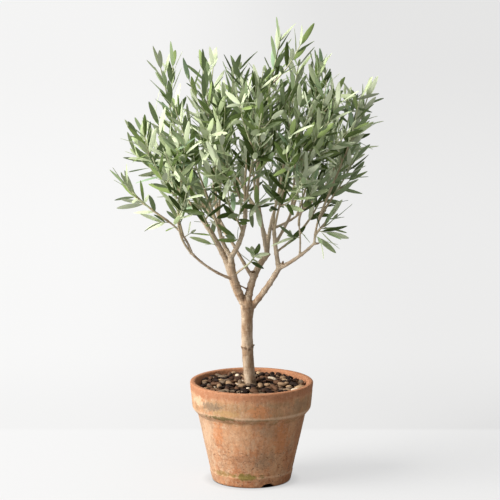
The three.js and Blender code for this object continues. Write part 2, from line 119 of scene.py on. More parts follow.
# Mass of foliage: (the limb that carries its stem, the share where the stem leaves, the heading of
# the stem's tip round the plant with 0 in front and 90 to the right, its reach from the pot's axis,
# its height, its side shoots, the size of its leaves where they are small).
MASSES = {
    "low_left": ("low_left_arm", 1, 282, 257, 629, 2),
    "left_under": ("low_left_arm", 0.5, 289, 172, 640, 2),
    "left": ("outer_left_limb", 1, 268, 234, 721, 3),
    "upper_left": ("outer_left_limb", 0.88, 273, 187, 872, 4),
    "left_high": ("left_inner_limb", 0.8, 294, 170, 797, 3),
    "left_top": ("left_inner_limb", 1, 248, 107, 860, 4),
    "left_front": ("low_left_limb", 1, 318, 203, 731, 3),
    "left_back": ("back_left_limb", 0.75, 238, 238, 700, 3),
    "mid_top": ("back_left_limb", 1, 208, 79, 850, 4),
    "centre_top": ("mid_left_limb", 1, 24, 33, 837, 4),
    "front": ("mid_left_limb", 0.86, 6, 146, 803, 4),
    "front_left": ("mid_left_limb", 0.7, 341, 180, 735, 3),
    "tuft": ("centre_inner_limb", 0.88, 8, 80, 604, 0, 0.8),
    "inner_left": ("left_inner_limb", 0.9, 300, 66, 808, 3),
    "inner_right": ("right_back_limb", 0.8, 62, 112, 796, 3),
    "top": ("centre_inner_limb", 1, 105, 60, 925, 4),
    "right_top": ("centre_right_limb", 1, 126, 120, 866, 3),
    "right_crest": ("right_back_limb", 1, 88, 137, 865, 4),
    "right_front": ("right_inner_limb", 1, 54, 214, 811, 4),
    "front_right": ("right_inner_limb", 0.8, 27, 188, 728, 3),
    "right": ("right_outer_limb", 1, 94, 240, 806, 4),
    "right_under": ("right_outer_limb", 0.7, 79, 212, 682, 3),
    "low_right": ("right_outer_limb", 0.25, 65, 187, 587, 1),
    "right_inner": ("right_rising_limb", 1, 56, 168, 652, 3),
    "right_back": ("back_side_limb", 1, 113, 228, 706, 3),
    "back_right": ("back_side_limb", 0.75, 139, 222, 758, 4),
    "back": ("back_limb", 1, 180, 214, 722, 4),
    "back_left": ("back_limb", 0.75, 212, 214, 756, 4),
    "back_top": ("back_limb", 0.9, 170, 142, 815, 4),
    "back_inner": ("centre_right_limb", 0.7, 160, 222, 650, 3),
    "skirt_front": ("mid_left_limb", 0.45, 332, 118, 626, 2),
    "skirt_right": ("side_limb", 1, 98, 158, 622, 2),
    "skirt_left": ("outer_left_limb", 0.62, 296, 128, 616, 2),
    "skirt_back": ("back_limb", 0.6, 188, 200, 612, 2),
    "skirt_back_left": ("back_left_limb", 0.5, 226, 166, 612, 2),
    "sprout": ("left_bough", 0.62, 5, 33, 476, 0, 0.55),
}

STEM_OUTWARD = 0.25  # how far a stem's tip leans out from straight up
STEM_TURN = 0.75  # how far a stem that leaves the side of its limb turns to its tip at once
STEM_BARE = 0.26  # share of a stem's foot that has no leaves
SHOOT_BARE = 0.16  # share of a side shoot's foot
SHOOT_FIRST, SHOOT_LAST = 0.3, 0.84  # shares of a stem between which its side shoots leave
SHOOT_LENGTH = 0.5  # share of the stem's length
SHOOT_OPENING = 42  # degrees between a side shoot's foot and its stem
SHOOT_LIFT = 0.9  # how far its end turns up
SHOOT_BEND = (0.45, 0.55)  # shares of its length before and after its bend
SHOOT_TURNS = (0, 120, 240)  # headings round the stem that are tried until one is free
OPENING_LOW, OPENING_TIP = 58, 25  # degrees between a leaf and its twig, at the foot and the tip
FOLDS = (1, 0.7, 0.45)  # shares of that opening which are tried until one is free
TURN_TO_LIGHT = 0.55  # how far a leaf's upper side turns up
GOLDEN_ANGLE = 137.5  # degrees from one side shoot to the next, and from pebble to pebble
TIP_RISE = 62  # leaves may stand above the tip of their mass by this
TIP_REACH = 48  # and past its reach by this
CORE_REACH = 100  # which counts as this where it is less
LIMB_CLEARANCE = 1.5  # between a leaf or a shoot and the bark of a limb

Twig = namedtuple("Twig", "path radii seed bare scale mass order")


# ---- Numbers -------------------------------------------------------------------------------
def mix(a, b, share):
    """The value between a, at a share of 0, and b, at 1."""
    return a + (b - a) * share


def unit(vectors):
    """Each vector divided by its length."""
    return vectors / np.linalg.norm(vectors, axis=-1, keepdims=True)


def dice(a, b):
    """A repeatable number from 0 to 1: the fraction of 43758.5453 times sin(127.1 a + 311.7 b)."""
    wave = np.sin(a * 127.1 + b * 311.7) * 43758.5453
    return wave - np.floor(wave)


def srgb(red, green, blue):
    """Display levels as linear light: v / 12.92 near black, else ((v + 0.055) / 1.055) ** 2.4."""
    level = np.array([red, green, blue]) / 255
    light = np.where(level <= 0.04045, level / 12.92, ((level + 0.055) / 1.055) ** 2.4)
    return tuple(float(v) for v in light)


def noise(points, size):
    """Smooth noise from -1 to 1: dice at the corners of cells of that size, mixed by 3t² - 2t³."""
    cells = np.asarray(points) / size
    corner = np.floor(cells)
    ease = cells - corner
    ease = ease * ease * (3 - 2 * ease)
    total = np.zeros(cells.shape[:-1])
    for step in np.ndindex(2, 2, 2):
        x, y, z = np.moveaxis(corner + step, -1, 0)
        weight = np.where(np.array(step) == 1, ease, 1 - ease).prod(axis=-1)
        total += weight * dice(x + 57 * z, y + 0.37 * z)
    return 2 * total - 1


def ridged(points, size, octaves=3):
    """Noise added to finer noise of half its size and half its height, octave by octave."""
    return sum(noise(points, size / 2**k) / 2**k for k in range(octaves))


# ---- Surfaces ------------------------------------------------------------------------------
class Shell:
    """Patches of points and faces that end up in one mesh."""

    def __init__(self):
        self.points, self.faces, self.slots = [], [], []
        self.count = 0

    def add(self, points, faces, slots=0):
        """Takes points in millimetres and lists of faces, with one slot or a slot for each list."""
        for k, found in enumerate(faces):
            slot = slots[k] if isinstance(slots, (list, tuple)) else slots
            self.faces.append(np.asarray(found) + self.count)
            self.slots.append(np.broadcast_to(slot, len(found)))
        points = np.asarray(points).reshape(-1, 3)
        self.points.append(points)
        self.count += len(points)

    def make(self, name, materials):
        """The mesh object: every loop of every face in turn, set as whole arrays."""
        mesh = bpy.data.meshes.new(name)
        sizes = np.concatenate([np.full(len(f), f.shape[1]) for f in self.faces])
        loops = np.concatenate([f.ravel() for f in self.faces])
        mesh.vertices.add(self.count)
        mesh.vertices.foreach_set("co", (np.concatenate(self.points) * MM).astype(np.float32).ravel())
        mesh.loops.add(len(loops))
        mesh.loops.foreach_set("vertex_index", loops.astype(np.int32))
        mesh.polygons.add(len(sizes))
        mesh.polygons.foreach_set("loop_start", (np.cumsum(sizes) - sizes).astype(np.int32))
        mesh.polygons.foreach_set("material_index", np.concatenate(self.slots).astype(np.int32))
        mesh.polygons.foreach_set("use_smooth", np.ones(len(sizes), bool))
        for material in materials:
            mesh.materials.append(material)
        mesh.update(calc_edges=True)
        mesh.validate()
        made = bpy.data.objects.new(name, mesh)
        bpy.context.scene.collection.objects.link(made)
        return made


def band(rows, cols, around=True):
    """Quads of a grid of rows by cols that face out, where cols turn the right-hand way round the
    direction of the rows. The last column joins the first one where it goes around."""
    i, j = np.meshgrid(np.arange(rows - 1), np.arange(cols if around else cols - 1), indexing="ij")
    here, side = i * cols + j, i * cols + (j + 1) % cols
    return np.stack([here, side, side + cols, here + cols], axis=-1).reshape(-1, 4)


def fan(first, cols, pole, closing):
    """Triangles from a ring to its pole: a start's face back, and an end's (closing) face on."""
    j = np.arange(cols)
    ring = [first + j, first + (j + 1) % cols]
    return np.stack(([*ring] if closing else ring[::-1]) + [np.full(cols, pole)], axis=-1)


PATH_STEPS = 200  # straight steps that a path is read by
RUN_REACH = 0.01  # share of a path before and after a point that gives the direction there


class Path:
    """A Bezier curve, by repeated mixing of its control points, read by share of its length."""

    def __init__(self, *controls):
        t = np.linspace(0, 1, PATH_STEPS + 1)[:, None]
        points = [np.asarray(c, float) for c in controls]
        while len(points) > 1:
            points = [mix(a, b, t) for a, b in zip(points, points[1:])]
        self.points = points[0]
        steps = np.linalg.norm(np.diff(self.points, axis=0), axis=1)
        self.length = steps.sum()
        self.shares = np.concatenate([[0], np.cumsum(steps)]) / self.length

    def at(self, share):
        """The point at that share of the length."""
        return np.stack([np.interp(share, self.shares, c) for c in self.points.T], axis=-1)

    def run(self, share):
        """The unit direction there: from just before the point to just after it."""
        share = np.asarray(share, float)
        after, before = np.minimum(share + RUN_REACH, 1), np.maximum(share - RUN_REACH, 0)
        return unit(self.at(after) - self.at(before))


def bowed(start, tip, bow):
    """A curve whose middle is bowed off the straight line by the given step."""
    start, tip = np.asarray(start, float), np.asarray(tip, float)
    return Path(start, (start + tip) / 2 + 2 * np.asarray(bow, float), tip)


def rings_along(path, radius, sides, shares):
    """Points of a round bar: centre + radius (cos a N + sin a B), on the frame N, B of each ring.
    N is a fixed level direction made square to the path."""
    run = path.run(shares)
    chord = unit(path.points[-1] - path.points[0])
    level = np.cross(chord, UP if abs(chord[2]) < 0.95 else np.array([0.0, 1.0, 0.0]))
    normal = unit(level - run * (run @ level)[:, None])
    side = np.cross(run, normal)
    angle = np.arange(sides) * 2 * math.pi / sides
    round_it = normal[:, None] * np.cos(angle)[:, None] + side[:, None] * np.sin(angle)[:, None]
    return path.at(shares)[:, None] + round_it * np.broadcast_to(radius, len(shares))[:, None, None]


def add_bar(shell, path, radius, sides, shares, slots=None):
    """A closed round bar, with a slot for each stretch between two rings where slots are given."""
    rows = len(shares)
    points = rings_along(path, radius, sides, shares).reshape(-1, 3)
    poles = path.at(np.array([shares[0], shares[-1]]))
    last = (rows - 1) * sides
    faces = [
        band(rows, sides),
        fan(0, sides, rows * sides, closing=False),
        fan(last, sides, rows * sides + 1, closing=True),
    ]
    if slots is not None:
        slots = [np.repeat(slots, sides), slots[0], slots[-1]]
    shell.add(np.vstack([points, poles]), faces, slots if slots is not None else 0)


def add_lathe(shell, radius, height, around, shift=None):
    """A closed turned body. The profile leaves the axis at its first point and ends on it at its
    last: every other point turns round +Z, moved outwards by shift(angle, radius, height)."""
    angle = np.arange(around) * 2 * math.pi / around
    r, z = radius[1:-1, None], height[1:-1, None]
    r, z, a = np.broadcast_arrays(r, z, angle)
    if shift is not None:
        out, rise = shift(a, r, z)
        r, z = r + out, z + rise
    points = np.stack([r * np.cos(a), r * np.sin(a), z], axis=-1)
    rows = len(points)
    poles = [[0, 0, height[0]], [0, 0, height[-1]]]
    faces = [
        band(rows, around),
        fan(0, around, rows * around, closing=False),
        fan((rows - 1) * around, around, rows * around + 1, closing=True),
    ]
    shell.add(np.vstack([points.reshape(-1, 3), poles]), faces)


# ---- Limbs ---------------------------------------------------------------------------------
def trunk_radius(height):
    """Radius plus root flare, the ring of old buds and the swelling under the fork."""
    flare = FLARE[0] * np.exp((SOIL_TOP - height) / FLARE[1])
    knuckle = KNUCKLE[1] * np.exp(-(((height - KNUCKLE[0]) / KNUCKLE[2]) ** 2))
    crotch = CROTCH[1] * np.clip(1 - (TRUNK_TOP[2] - height) / CROTCH[0], 0, 1)
    return TRUNK_RADIUS + flare + knuckle + crotch


@functools.cache
def limbs():
    """name -> (path, radius at foot, radius at tip) for the trunk and every bough."""
    found = {"trunk": (bowed(TRUNK_FOOT, TRUNK_TOP, TRUNK_BOW), TRUNK_RADIUS, TRUNK_RADIUS)}
    for name, (parent, share, tip, bow, (foot, end)) in BOUGHS.items():
        found[name] = (bowed(found[parent][0].at(share), tip, bow), foot, end)
    return found


# ---- Growth --------------------------------------------------------------------------------
def side_of(direction, angle):
    """A unit vector square to a direction: its level side, turned round it by the angle."""
    level = unit(np.cross(direction, UP) + [1e-9, 0, 0])
    angle = np.asarray(angle)[..., None]
    return level * np.cos(angle) + np.cross(direction, level) * np.sin(angle)


def opened(along, around, opening):
    """A direction that has turned away from another by an opening, towards one side of it."""
    opening = np.asarray(opening)[..., None]
    return along * np.cos(opening) + side_of(along, around) * np.sin(opening)


def tip_of(heading, reach, height):
    """A point by its heading, 0 in front and 90 to the right, its reach from the axis and height."""
    angle = math.radians(heading)
    return np.array([reach * math.sin(angle), -reach * math.cos(angle), height])


@functools.cache
def stem_of(mass):
    """The main stem of a mass: a cubic curve that leaves along its limb and arrives pointing up
    and a little out."""
    limb, share, heading, reach, height = MASSES[mass][:5]
    path = limbs()[limb][0]
    start, tip = path.at(share), tip_of(heading, reach, height)
    step = np.linalg.norm(tip - start) / 3
    towards = unit(tip - start)
    leaving = path.run(share)
    if share < 1:
        leaving = unit(mix(leaving, towards, STEM_TURN))
    outward = unit(tip * [1, 1, 0]) * STEM_OUTWARD
    arriving = unit(towards + UP + outward)
    return Path(start, start + leaving * step, tip - arriving * step, tip)


def shoot_of(parent, share, angle, length):
    """A side shoot: it opens away from its parent and lifts towards the light."""
    start = parent.at(share)
    out = opened(parent.run(share), angle, math.radians(SHOOT_OPENING))
    end = unit(out + UP * SHOOT_LIFT)
    bend = start + out * length * SHOOT_BEND[0]
    return Path(start, bend, bend + end * length * SHOOT_BEND[1])


def distance_to(points, paths):
    """The distance from each point to each path: the least over its straight stretches, where the
    foot of the perpendicular is held between the two ends."""
    found = []
    for path in paths:
        line = path.at(np.linspace(0, 1, 9))
        a, run = line[:-1], np.diff(line, axis=0)
        off = points[:, None] - a
        share = np.clip((off * run).sum(-1) / (run * run).sum(-1), 0, 1)
        found.append(np.linalg.norm(off - share[..., None] * run, axis=-1).min(axis=1))
    return np.stack(found, axis=1)


def fits(points, mass, spare):
    """Whether each point stays in its mass's own space, which ends where another stem is nearer by
    more than spare, below and inside the stem tip's limits, and clear of every limb."""
    names = list(MASSES)
    far = distance_to(points, [stem_of(name) for name in names])
    place = names.index(mass)
    others = np.delete(far, place, axis=1).min(axis=1)
    _, _, _, reach, height = MASSES[mass][:5]
    inside = (
        (far[:, place] < others + spare)
        & (points[:, 2] < height + TIP_RISE)
        & (np.hypot(points[:, 0], points[:, 1]) < max(reach, CORE_REACH) + TIP_REACH)
    )
    thick = [(path, max(foot, end) + LIMB_CLEARANCE) for path, foot, end in limbs().values()]
    clear = distance_to(points, [path for path, _ in thick]) > [r for _, r in thick]
    return inside & clear.all(axis=1)


def free_shoot(parent, share, heading, length, mass, spare):
    """The first of the turned shoots that stays in its mass's space, or None."""
    if length == 0:
        return None
    for turn in SHOOT_TURNS:
        path = shoot_of(parent, share, math.radians(heading + turn), length)
        if fits(path.at(np.linspace(0.25, 1, 4)), mass, spare).all():
            return path
    return None


# ---- Twigs and leaves ----------------------------------------------------------------------
STEM_RADIUS, SHOOT_RADIUS, SPRIG_RADIUS = (2.8, 1.2), (1.7, 0.95), (1.2, 0.75)
WOOD_SHARES, WOOD_SCATTER = (0.5, 0.2, 0.08), 0.15  # woody feet of stems, shoots and finer shoots
STEM_EXTRA = 6  # a stem goes on by this past the tip that its mass gives it
LONG_STEMS = {"low_left": 24, "sprout": 15, "tuft": 3}
STEM_SPARE, LEAF_SPARE = 6, 14  # how far twigs and leaves may cross into the next mass's space
SPRIG_FIRST, SPRIG_LAST = 0.36, 0.8  # shares of a stem between which its finer shoots leave
SPRIG_LENGTH = 0.3  # share of the stem's length
SPRIG_LEAF = 0.95  # size of the leaves on a finer shoot
SPUR_LENGTH = 0.5  # share of the length of the side shoot that carries it
SPUR_FIRST, SPUR_LAST = 0.3, 0.6  # shares of that side shoot between which it leaves
SPUR_CHANCE = 0.4  # of a spur on a side shoot
SPUR_SHORTEST = 28
SPUR_LEAF = 0.9  # size of the leaves on a spur
LOW_SPUR_BARE = 0.55  # share of a low spur's foot that has no leaves
ROSETTE_BARE = 0.72  # share of a sprout's foot that has no leaves
ROSETTE_SCALE = 1.15  # a sprout's leaves are larger than the solid's by this
SMALL_LEAF = 0.93  # a twig whose leaves are smaller than this crowds them and has no young pair
CROWDED_GAP = 0.5  # between its pairs, as a share of the usual gap
CROWDED_OPENING = 40  # degrees more that its leaves open by
OPEN_GAP = 1.35  # between the pairs of the low masses, which have few side shoots
MASS_SEEDS = 16  # numbers that each mass has for its shoots
SHOOT_SEED, SPRIG_SEED, SPUR_SEED, LOW_SPUR_SEED = 100, 1000, 2000, 3000
# Shoots that have been cut back, by seed, and the share of each that is left.
SHORTENED = {133: 0.8, 151: 0.7, 343: 0.72, 422: 0.45, 423: 0.7, 437: 0.55, 438: 0.7, 486: 0.5}
REMOVED = (342, 436, 1049, 1241, 1321, 1336, 2133, 2151, 2343, 2422)
CUT_BACK = SHORTENED | dict.fromkeys(REMOVED, 0)
# Low spurs on the limbs: the mass each belongs to, its limb and share, and its step outwards.
LOW_SPURS = (
    ("low_left", "low_left_arm", 0.36, (-9, -7, 1)),
    ("low_left", "low_left_arm", 0.95, (-16, -5, 2)),
    ("left_under", "low_left_arm", 0.45, (13, -6, 9)),
    ("skirt_left", "outer_left_limb", 0.5, (-13, -8, 4)),
    ("skirt_front", "mid_left_limb", 0.3, (-8, -11, 8)),
    ("skirt_right", "side_limb", 0.7, (-4, -12, 8)),
    ("skirt_right", "side_limb", 0.45, (8, -10, 10)),
    ("right_inner", "right_rising_limb", 0.8, (11, -9, -7)),
    ("right_inner", "right_rising_limb", 0.6, (-12, -8, 3)),
    ("low_right", "right_outer_limb", 0.26, (9, -9, -7)),
    ("low_right", "right_outer_limb", 0.42, (19, -5, -3)),
)
LEAF_SIZES = (0.84, 1.06)  # shares of the full length between which a leaf is
LEAF_LAST = 0.985  # share of a twig where its last pair stands
LEAF_ROLL = 1.3  # radians between the furthest rolls of a leaf about its blade
LEAF_APART = 3.2  # the least distance between the middles of two leaves
PAIR_SCATTER, OPENING_SCATTER = 26, 16  # degrees between extremes, round the twig and off it
YOUNG_SIZE, YOUNG_OPENING = 0.34, 11  # of the last small pair: its size and degrees
YOUNG_SHARE = 1.2  # past the end of the twig, which marks a young leaf
BOX_SPARE = 4  # a leaf may pass the frame's box by this
# Points of a leaf that have to stay in its mass's space: share of its length, and half widths across.
LEAF_SPOTS = np.array([(0.25, 0), (0.45, -1), (0.45, 1), (0.75, 0.5), (0.75, -0.5), (1, 0)])
LEAF_LINE = np.linspace(0.3, 1, 6)[:, None]  # shares of its length that keep apart from other leaves

# Slots of a leaf piece: five upper sides, dark to young, of which the darkest is painted shade and the
# pale one painted light, a bluish one, and three undersides, of which one is painted shade.
LEAF_SLOTS = (
    "upper_dark",
    "upper_deep",
    "upper_mid",
    "upper_light",
    "upper_young",
    "upper_blue",
    "under_silver",
    "under_deep",
    "under_young",
)
UPPER_MID = 2
UPPER_YOUNG, UPPER_BLUE, UNDER_SILVER, UNDER_DEEP, UNDER_YOUNG = range(4, 9)
BLUE_CHANCE, DEEP_CHANCE = 0.09, 0.3
CROWN_MIDDLE, CROWN_HALF = np.array([0, 0, 690]), np.array([275, 245, 270])
# A leaf's tone, with painted light and shade in it: what each has, and what being near the tip, far out
# (painted light, with painted shade inside the crown) and in a pale spray adds.
LIGHT_BASE, LIGHT_TIP, LIGHT_OUTER, LIGHT_SPRAY = 0.15, 0.3, 0.65, 0.3
# Painted light from the left, where the key light is.
LIGHT_LEFT = 0.2  # the crown's left counts as further out by this
LIGHT_STEPS = [0.64, 0.8, 0.95, 1.34]  # levels of light at which a leaf gets the next tone

Leaves = namedtuple("Leaves", "root blade across third length share seed mass")


def stem_twig(mass):
    """The stem that is grown: the mass's own stem, gone on a little past its tip."""
    path = stem_of(mass)
    start, tip = path.points[0], path.points[-1]
    step = path.length / 3
    end = tip + path.run(1.0) * LONG_STEMS.get(mass, STEM_EXTRA)
    return Path(start, start + path.run(0.0) * step, tip - path.run(1.0) * step * 0.8, end)


def twigs_of(mass):
    """Every twig of a mass: its stem, the side shoots of the rule, spurs on some of them, finer
    shoots between them and the low spurs of its limbs."""
    index = list(MASSES).index(mass)
    shoots, *small = MASSES[mass][5:]
    stem = stem_twig(mass)
    scale = small[0] * ROSETTE_SCALE if small else 1
    bare = ROSETTE_BARE if small else STEM_BARE
    found = [Twig(stem, STEM_RADIUS, index, bare, scale, mass, 0)]
    for i in range(shoots):
        seed = index * MASS_SEEDS + i + SHOOT_SEED
        share = mix(SHOOT_FIRST, SHOOT_LAST, (i + 0.5 * dice(seed, 1)) / shoots)
        grown = SHOOT_LENGTH * mix(1.1, 0.7, share) * mix(0.8, 1.15, dice(seed, 2))
        heading = GOLDEN_ANGLE * i + 360 * dice(index, 2)
        left = CUT_BACK.get(seed, 1)
        path = free_shoot(stem, share, heading, stem.length * grown * left, mass, STEM_SPARE)
        if path is not None:
            found.append(Twig(path, SHOOT_RADIUS, seed, SHOOT_BARE, 1, mass, 1))
    for twig in found[1:]:
        seed = twig.seed + SPUR_SEED
        if dice(seed, 4) > SPUR_CHANCE:
            continue
        length = twig.path.length * SPUR_LENGTH * mix(0.7, 1.1, dice(seed, 1)) * CUT_BACK.get(seed, 1)
        share = mix(SPUR_FIRST, SPUR_LAST, dice(seed, 2))
        path = free_shoot(twig.path, share, 360 * dice(seed, 3), length, mass, STEM_SPARE)
        if path is not None and length > SPUR_SHORTEST:
            found.append(Twig(path, SPRIG_RADIUS, seed, SHOOT_BARE, SPUR_LEAF, mass, 2))
    sprigs = max(shoots - 2, 0)
    for i in range(sprigs):
        seed = index * MASS_SEEDS + i + SPRIG_SEED
        share = mix(SPRIG_FIRST, SPRIG_LAST, (i + dice(seed, 1)) / sprigs)
        length = stem.length * SPRIG_LENGTH * mix(0.75, 1.25, dice(seed, 2)) * CUT_BACK.get(seed, 1)
        heading = GOLDEN_ANGLE * (i + 0.5) + 360 * dice(index, 2)
        path = free_shoot(stem, share, heading, length, mass, STEM_SPARE)
        if path is not None:
            found.append(Twig(path, SPRIG_RADIUS, seed, SHOOT_BARE, SPRIG_LEAF, mass, 2))
    for k, (owner, limb, share, step) in enumerate(LOW_SPURS):
        if owner == mass:
            foot = limbs()[limb][0].at(share)
            path = Path(foot, foot + step)
            seed = LOW_SPUR_SEED + k
            found.append(Twig(path, SPRIG_RADIUS, seed, LOW_SPUR_BARE, SPRIG_LEAF, mass, 2))
    return found


@functools.cache
def twigs():
    """Every twig of the crown, mass by mass."""
    return [twig for mass in MASSES for twig in twigs_of(mass)]


def leaf_places(twig, length, gap):
    """Opposite pairs that turn a right angle from pair to pair, and open less towards the tip. A
    last pair of small young leaves stands nearly shut at the very tip."""
    crowded = twig.scale < SMALL_LEAF
    gap = gap * (CROWDED_GAP if crowded else OPEN_GAP if MASSES[twig.mass][5] < 3 else 1)
    pairs = max(1, round(twig.path.length * (1 - twig.bare) / gap))
    pair = np.repeat(np.arange(pairs + 2), 2)
    side = np.tile([0, 1], pairs + 2)
    seed = twig.seed
    share = mix(twig.bare, LEAF_LAST, np.minimum(pair / pairs, 1))
    young = (pair > pairs) & (not crowded)
    size = np.where(young, YOUNG_SIZE, mix(*LEAF_SIZES, dice(seed, pair + 20)))
    scatter = dice(seed, pair * 2 + side + 40) - 0.5
    around = np.radians(90 * pair + 180 * side + 360 * dice(seed, 3) + PAIR_SCATTER * scatter)
    tilt = dice(seed, pair * 2 + side + 60) - 0.5
    wider = CROWDED_OPENING if crowded else 0
    opening = np.where(young, YOUNG_OPENING, mix(OPENING_LOW, OPENING_TIP, share))
    opening = np.radians(opening + wider + OPENING_SCATTER * tilt)
    root, along = twig.path.at(share), twig.path.run(share)
    return root, along, around, opening, length * size * twig.scale, np.where(young, YOUNG_SHARE, share)


def leaf_axes(along, around, opening, roll):
    """The axes of a leaf: along the blade, across it and square to it, on its upper side, which
    faces the twig, turns part of the way to the light, and rolls about the blade."""
    blade = opened(along, around, opening)
    face = opened(along, around, opening - math.pi / 2) + UP * TURN_TO_LIGHT
    across = unit(np.cross(face, blade))
    third = np.cross(blade, across)
    across = across * np.cos(roll)[:, None] + third * np.sin(roll)[:, None]
    return blade, across, np.cross(blade, across)


def leaf_points(root, length, blade, across, width):
    """The points of each leaf that have to stay in its mass's space."""
    on = root[:, None] + blade[:, None] * length[:, None, None] * LEAF_SPOTS[:, :1]
    return on + across[:, None] * (width / 2) * LEAF_SPOTS[:, 1:]


@functools.cache
def leaves(length, width, gap):
    """Every leaf of the crown that is free: in its mass's space, inside the frame's box, clear of
    the limbs and apart from the leaves before it."""
    low, high = np.array(CAD_BOX) / MM
    low, high = low - BOX_SPARE, high + BOX_SPARE
    lines = np.empty((0, 3))
    kept = []
    for twig in twigs():
        root, along, around, opening, long, share = leaf_places(twig, length, gap)
        roll = LEAF_ROLL * (dice(twig.seed, np.arange(len(root)) + 80) - 0.5)
        waiting = np.ones(len(root), bool)
        for fold in FOLDS:
            blade, across, third = leaf_axes(along, around, opening * fold, roll)
            spots = leaf_points(root, long, blade, across, width)
            good = fits(spots.reshape(-1, 3), twig.mass, LEAF_SPARE)
            good = good.reshape(-1, len(LEAF_SPOTS)).all(axis=1)
            good &= ((spots > low) & (spots < high)).all(axis=(1, 2))
            for i in np.flatnonzero(good & waiting):
                line = root[i] + blade[i] * long[i] * LEAF_LINE
                gaps = np.linalg.norm(lines[:, None] - line, axis=-1)
                if not len(lines) or gaps.min() > LEAF_APART:
                    lines = np.vstack([lines, line])
                    spot = (root[i], blade[i], across[i], third[i], long[i], share[i])
                    kept.append(spot + (twig.seed + 0.1 * i, list(MASSES).index(twig.mass)))
                    waiting[i] = False
    return Leaves(*(np.array(column) for column in zip(*kept)))


# Rows of a blade by share of its length, and the ring of each row: across in half widths and
# height in millimetres, from one edge over the upper side to the other and back underneath.
BLADE_ROWS = np.array([0, 0.06, 0.17, 0.36, 0.6, 0.82, 0.95])
BLADE_UPPER = [(1, -0.25), (0.5, 0.42), (0, 0.08), (-0.5, 0.42)]
BLADE_UNDER = [(-1, -0.25), (-0.5, -0.12), (0, -0.6), (0.5, -0.12)]
BLADE_RING = np.array(BLADE_UPPER + BLADE_UNDER)
BLADE_POINTS = len(BLADE_ROWS) * len(BLADE_RING) + 1
LEAF_BEND, BEND_SCATTER = 0.06, 0.26  # share of its length that a tip bends down, and its range
LEAF_SWAY = 0.16  # share of its length between the furthest sways of tips to the sides
LEAF_TWIST = 1.1  # radians between the furthest twists
SPROUT_BREADTH = 1.35  # the leaves of the shoot in the fork are broader by this


def blade_width(share):
    """Half the width as a share of the widest: a thin stalk, then the sine of a drawn-out arc."""
    body = np.clip((share - 0.05) / 0.95, 0, 1)
    return np.maximum(np.sin(math.pi * body**0.9) ** 0.58, 0.11)


def add_leaves(shell, found, width):
    """Closed blades of 57 faces. The middle line is root + length (t blade - bend t² third + sway
    t² across), and each ring turns about it by twist t."""
    count = len(found.seed)
    t = BLADE_ROWS[:, None]
    scatter = [(dice(found.seed, k) - 0.5)[:, None, None] for k in (11, 12, 13)]
    bend = LEAF_BEND + BEND_SCATTER * scatter[0]
    sway, twist = LEAF_SWAY * scatter[1], LEAF_TWIST * scatter[2]
    long = found.length[:, None, None]
    broad = np.where(found.mass == list(MASSES).index("sprout"), SPROUT_BREADTH, 1)[:, None, None]
    narrow = np.minimum(1, 1.5 * long / 56)  # leaves under 37 mm are narrower in proportion
    half = width / 2 * broad * narrow * blade_width(t)
    u, v = BLADE_RING[:, 0] * half, BLADE_RING[:, 1] * np.minimum(1, half / 2)
    turn = twist * t
    side, rise = u * np.cos(turn) - v * np.sin(turn), u * np.sin(turn) + v * np.cos(turn)
    side, rise = side + long * sway * t**2, rise - long * bend * t**2
    ahead = np.broadcast_to(long * t, side.shape)
    axes = [axis[:, None, None] for axis in (found.blade, found.across, found.third)]
    rings = found.root[:, None, None] + sum(
        part[..., None] * axis for part, axis in zip((ahead, side, rise), axes)
    )
    far = found.length[:, None]
    tips = found.root + far * (found.blade + sway[:, 0] * found.across - bend[:, 0] * found.third)
    points = np.concatenate([rings.reshape(count, -1, 3), tips[:, None]], axis=1)
    ring = len(BLADE_RING)
    last = BLADE_POINTS - 1 - ring
    faces = [band(len(BLADE_ROWS), ring), fan(last, ring, BLADE_POINTS - 1, closing=True)]
    faces.append(np.arange(ring)[None, ::-1])
    offset = (np.arange(count) * BLADE_POINTS)[:, None, None]
    upper = np.arange(ring) < ring // 2
    top, bottom = leaf_tones(found)
    tones = np.where(upper, top[:, None], bottom[:, None])
    slots = [np.tile(tones, (1, len(BLADE_ROWS) - 1)).ravel(), tones.ravel(), bottom]
    shell.add(points, [(f + offset).reshape(-1, f.shape[1]) for f in faces], slots)


def leaf_tones(found):
    """Slots of the two sides. A spray's tone and a leaf's own are added to how near the leaf is to its
    twig's tip, and to how far out in the crown it stands: leaves inside get painted shade, and the
    crown's left side gets paler leaves as painted light."""
    # Painted shade deep in the crown, and painted light further out and on the left.
    middle = found.root + found.blade * found.length[:, None] / 2
    place = (middle - CROWN_MIDDLE) / CROWN_HALF
    outer = np.linalg.norm(place, axis=1) - LIGHT_LEFT * place[:, 0]
    spray = dice(np.floor(found.seed), 31) - 0.5
    leaf = dice(found.seed, 32) - 0.5
    light = LIGHT_TIP * np.minimum(found.share, 1) + LIGHT_OUTER * outer + LIGHT_BASE
    top = np.digitize(light + LIGHT_SPRAY * spray + leaf, LIGHT_STEPS)
    top = np.where((top >= UPPER_MID) & (dice(found.seed, 34) < BLUE_CHANCE), UPPER_BLUE, top)
    top = np.where(found.share > 1, UPPER_YOUNG, top)
    # An underside in painted shade goes with a dark upper side, and with some other leaves at random.
    deep = (top < UPPER_MID) | (dice(found.seed, 33) < DEEP_CHANCE)
    under = np.where(deep, UNDER_DEEP, UNDER_SILVER)
    return top, np.where(found.share > 1, UNDER_YOUNG, under)


def mark_margins(mesh):
    """Sharp edges along both edges of every blade, so that its two sides shade apart."""
    ends = np.empty(2 * len(mesh.edges), np.int32)
    mesh.edges.foreach_get("vertices", ends)
    place = ends.reshape(-1, 2) % BLADE_POINTS
    tip = BLADE_POINTS - 1
    ring = len(BLADE_RING)
    edge_line = (place % (ring // 2) == 0) | (place == tip)
    same = (place[:, 0] % ring == place[:, 1] % ring) | (place == tip).any(axis=1)
    marks = mesh.attributes.get("sharp_edge") or mesh.attributes.new("sharp_edge", "BOOLEAN", "EDGE")
    marks.data.foreach_set("value", edge_line.all(axis=1) & same)


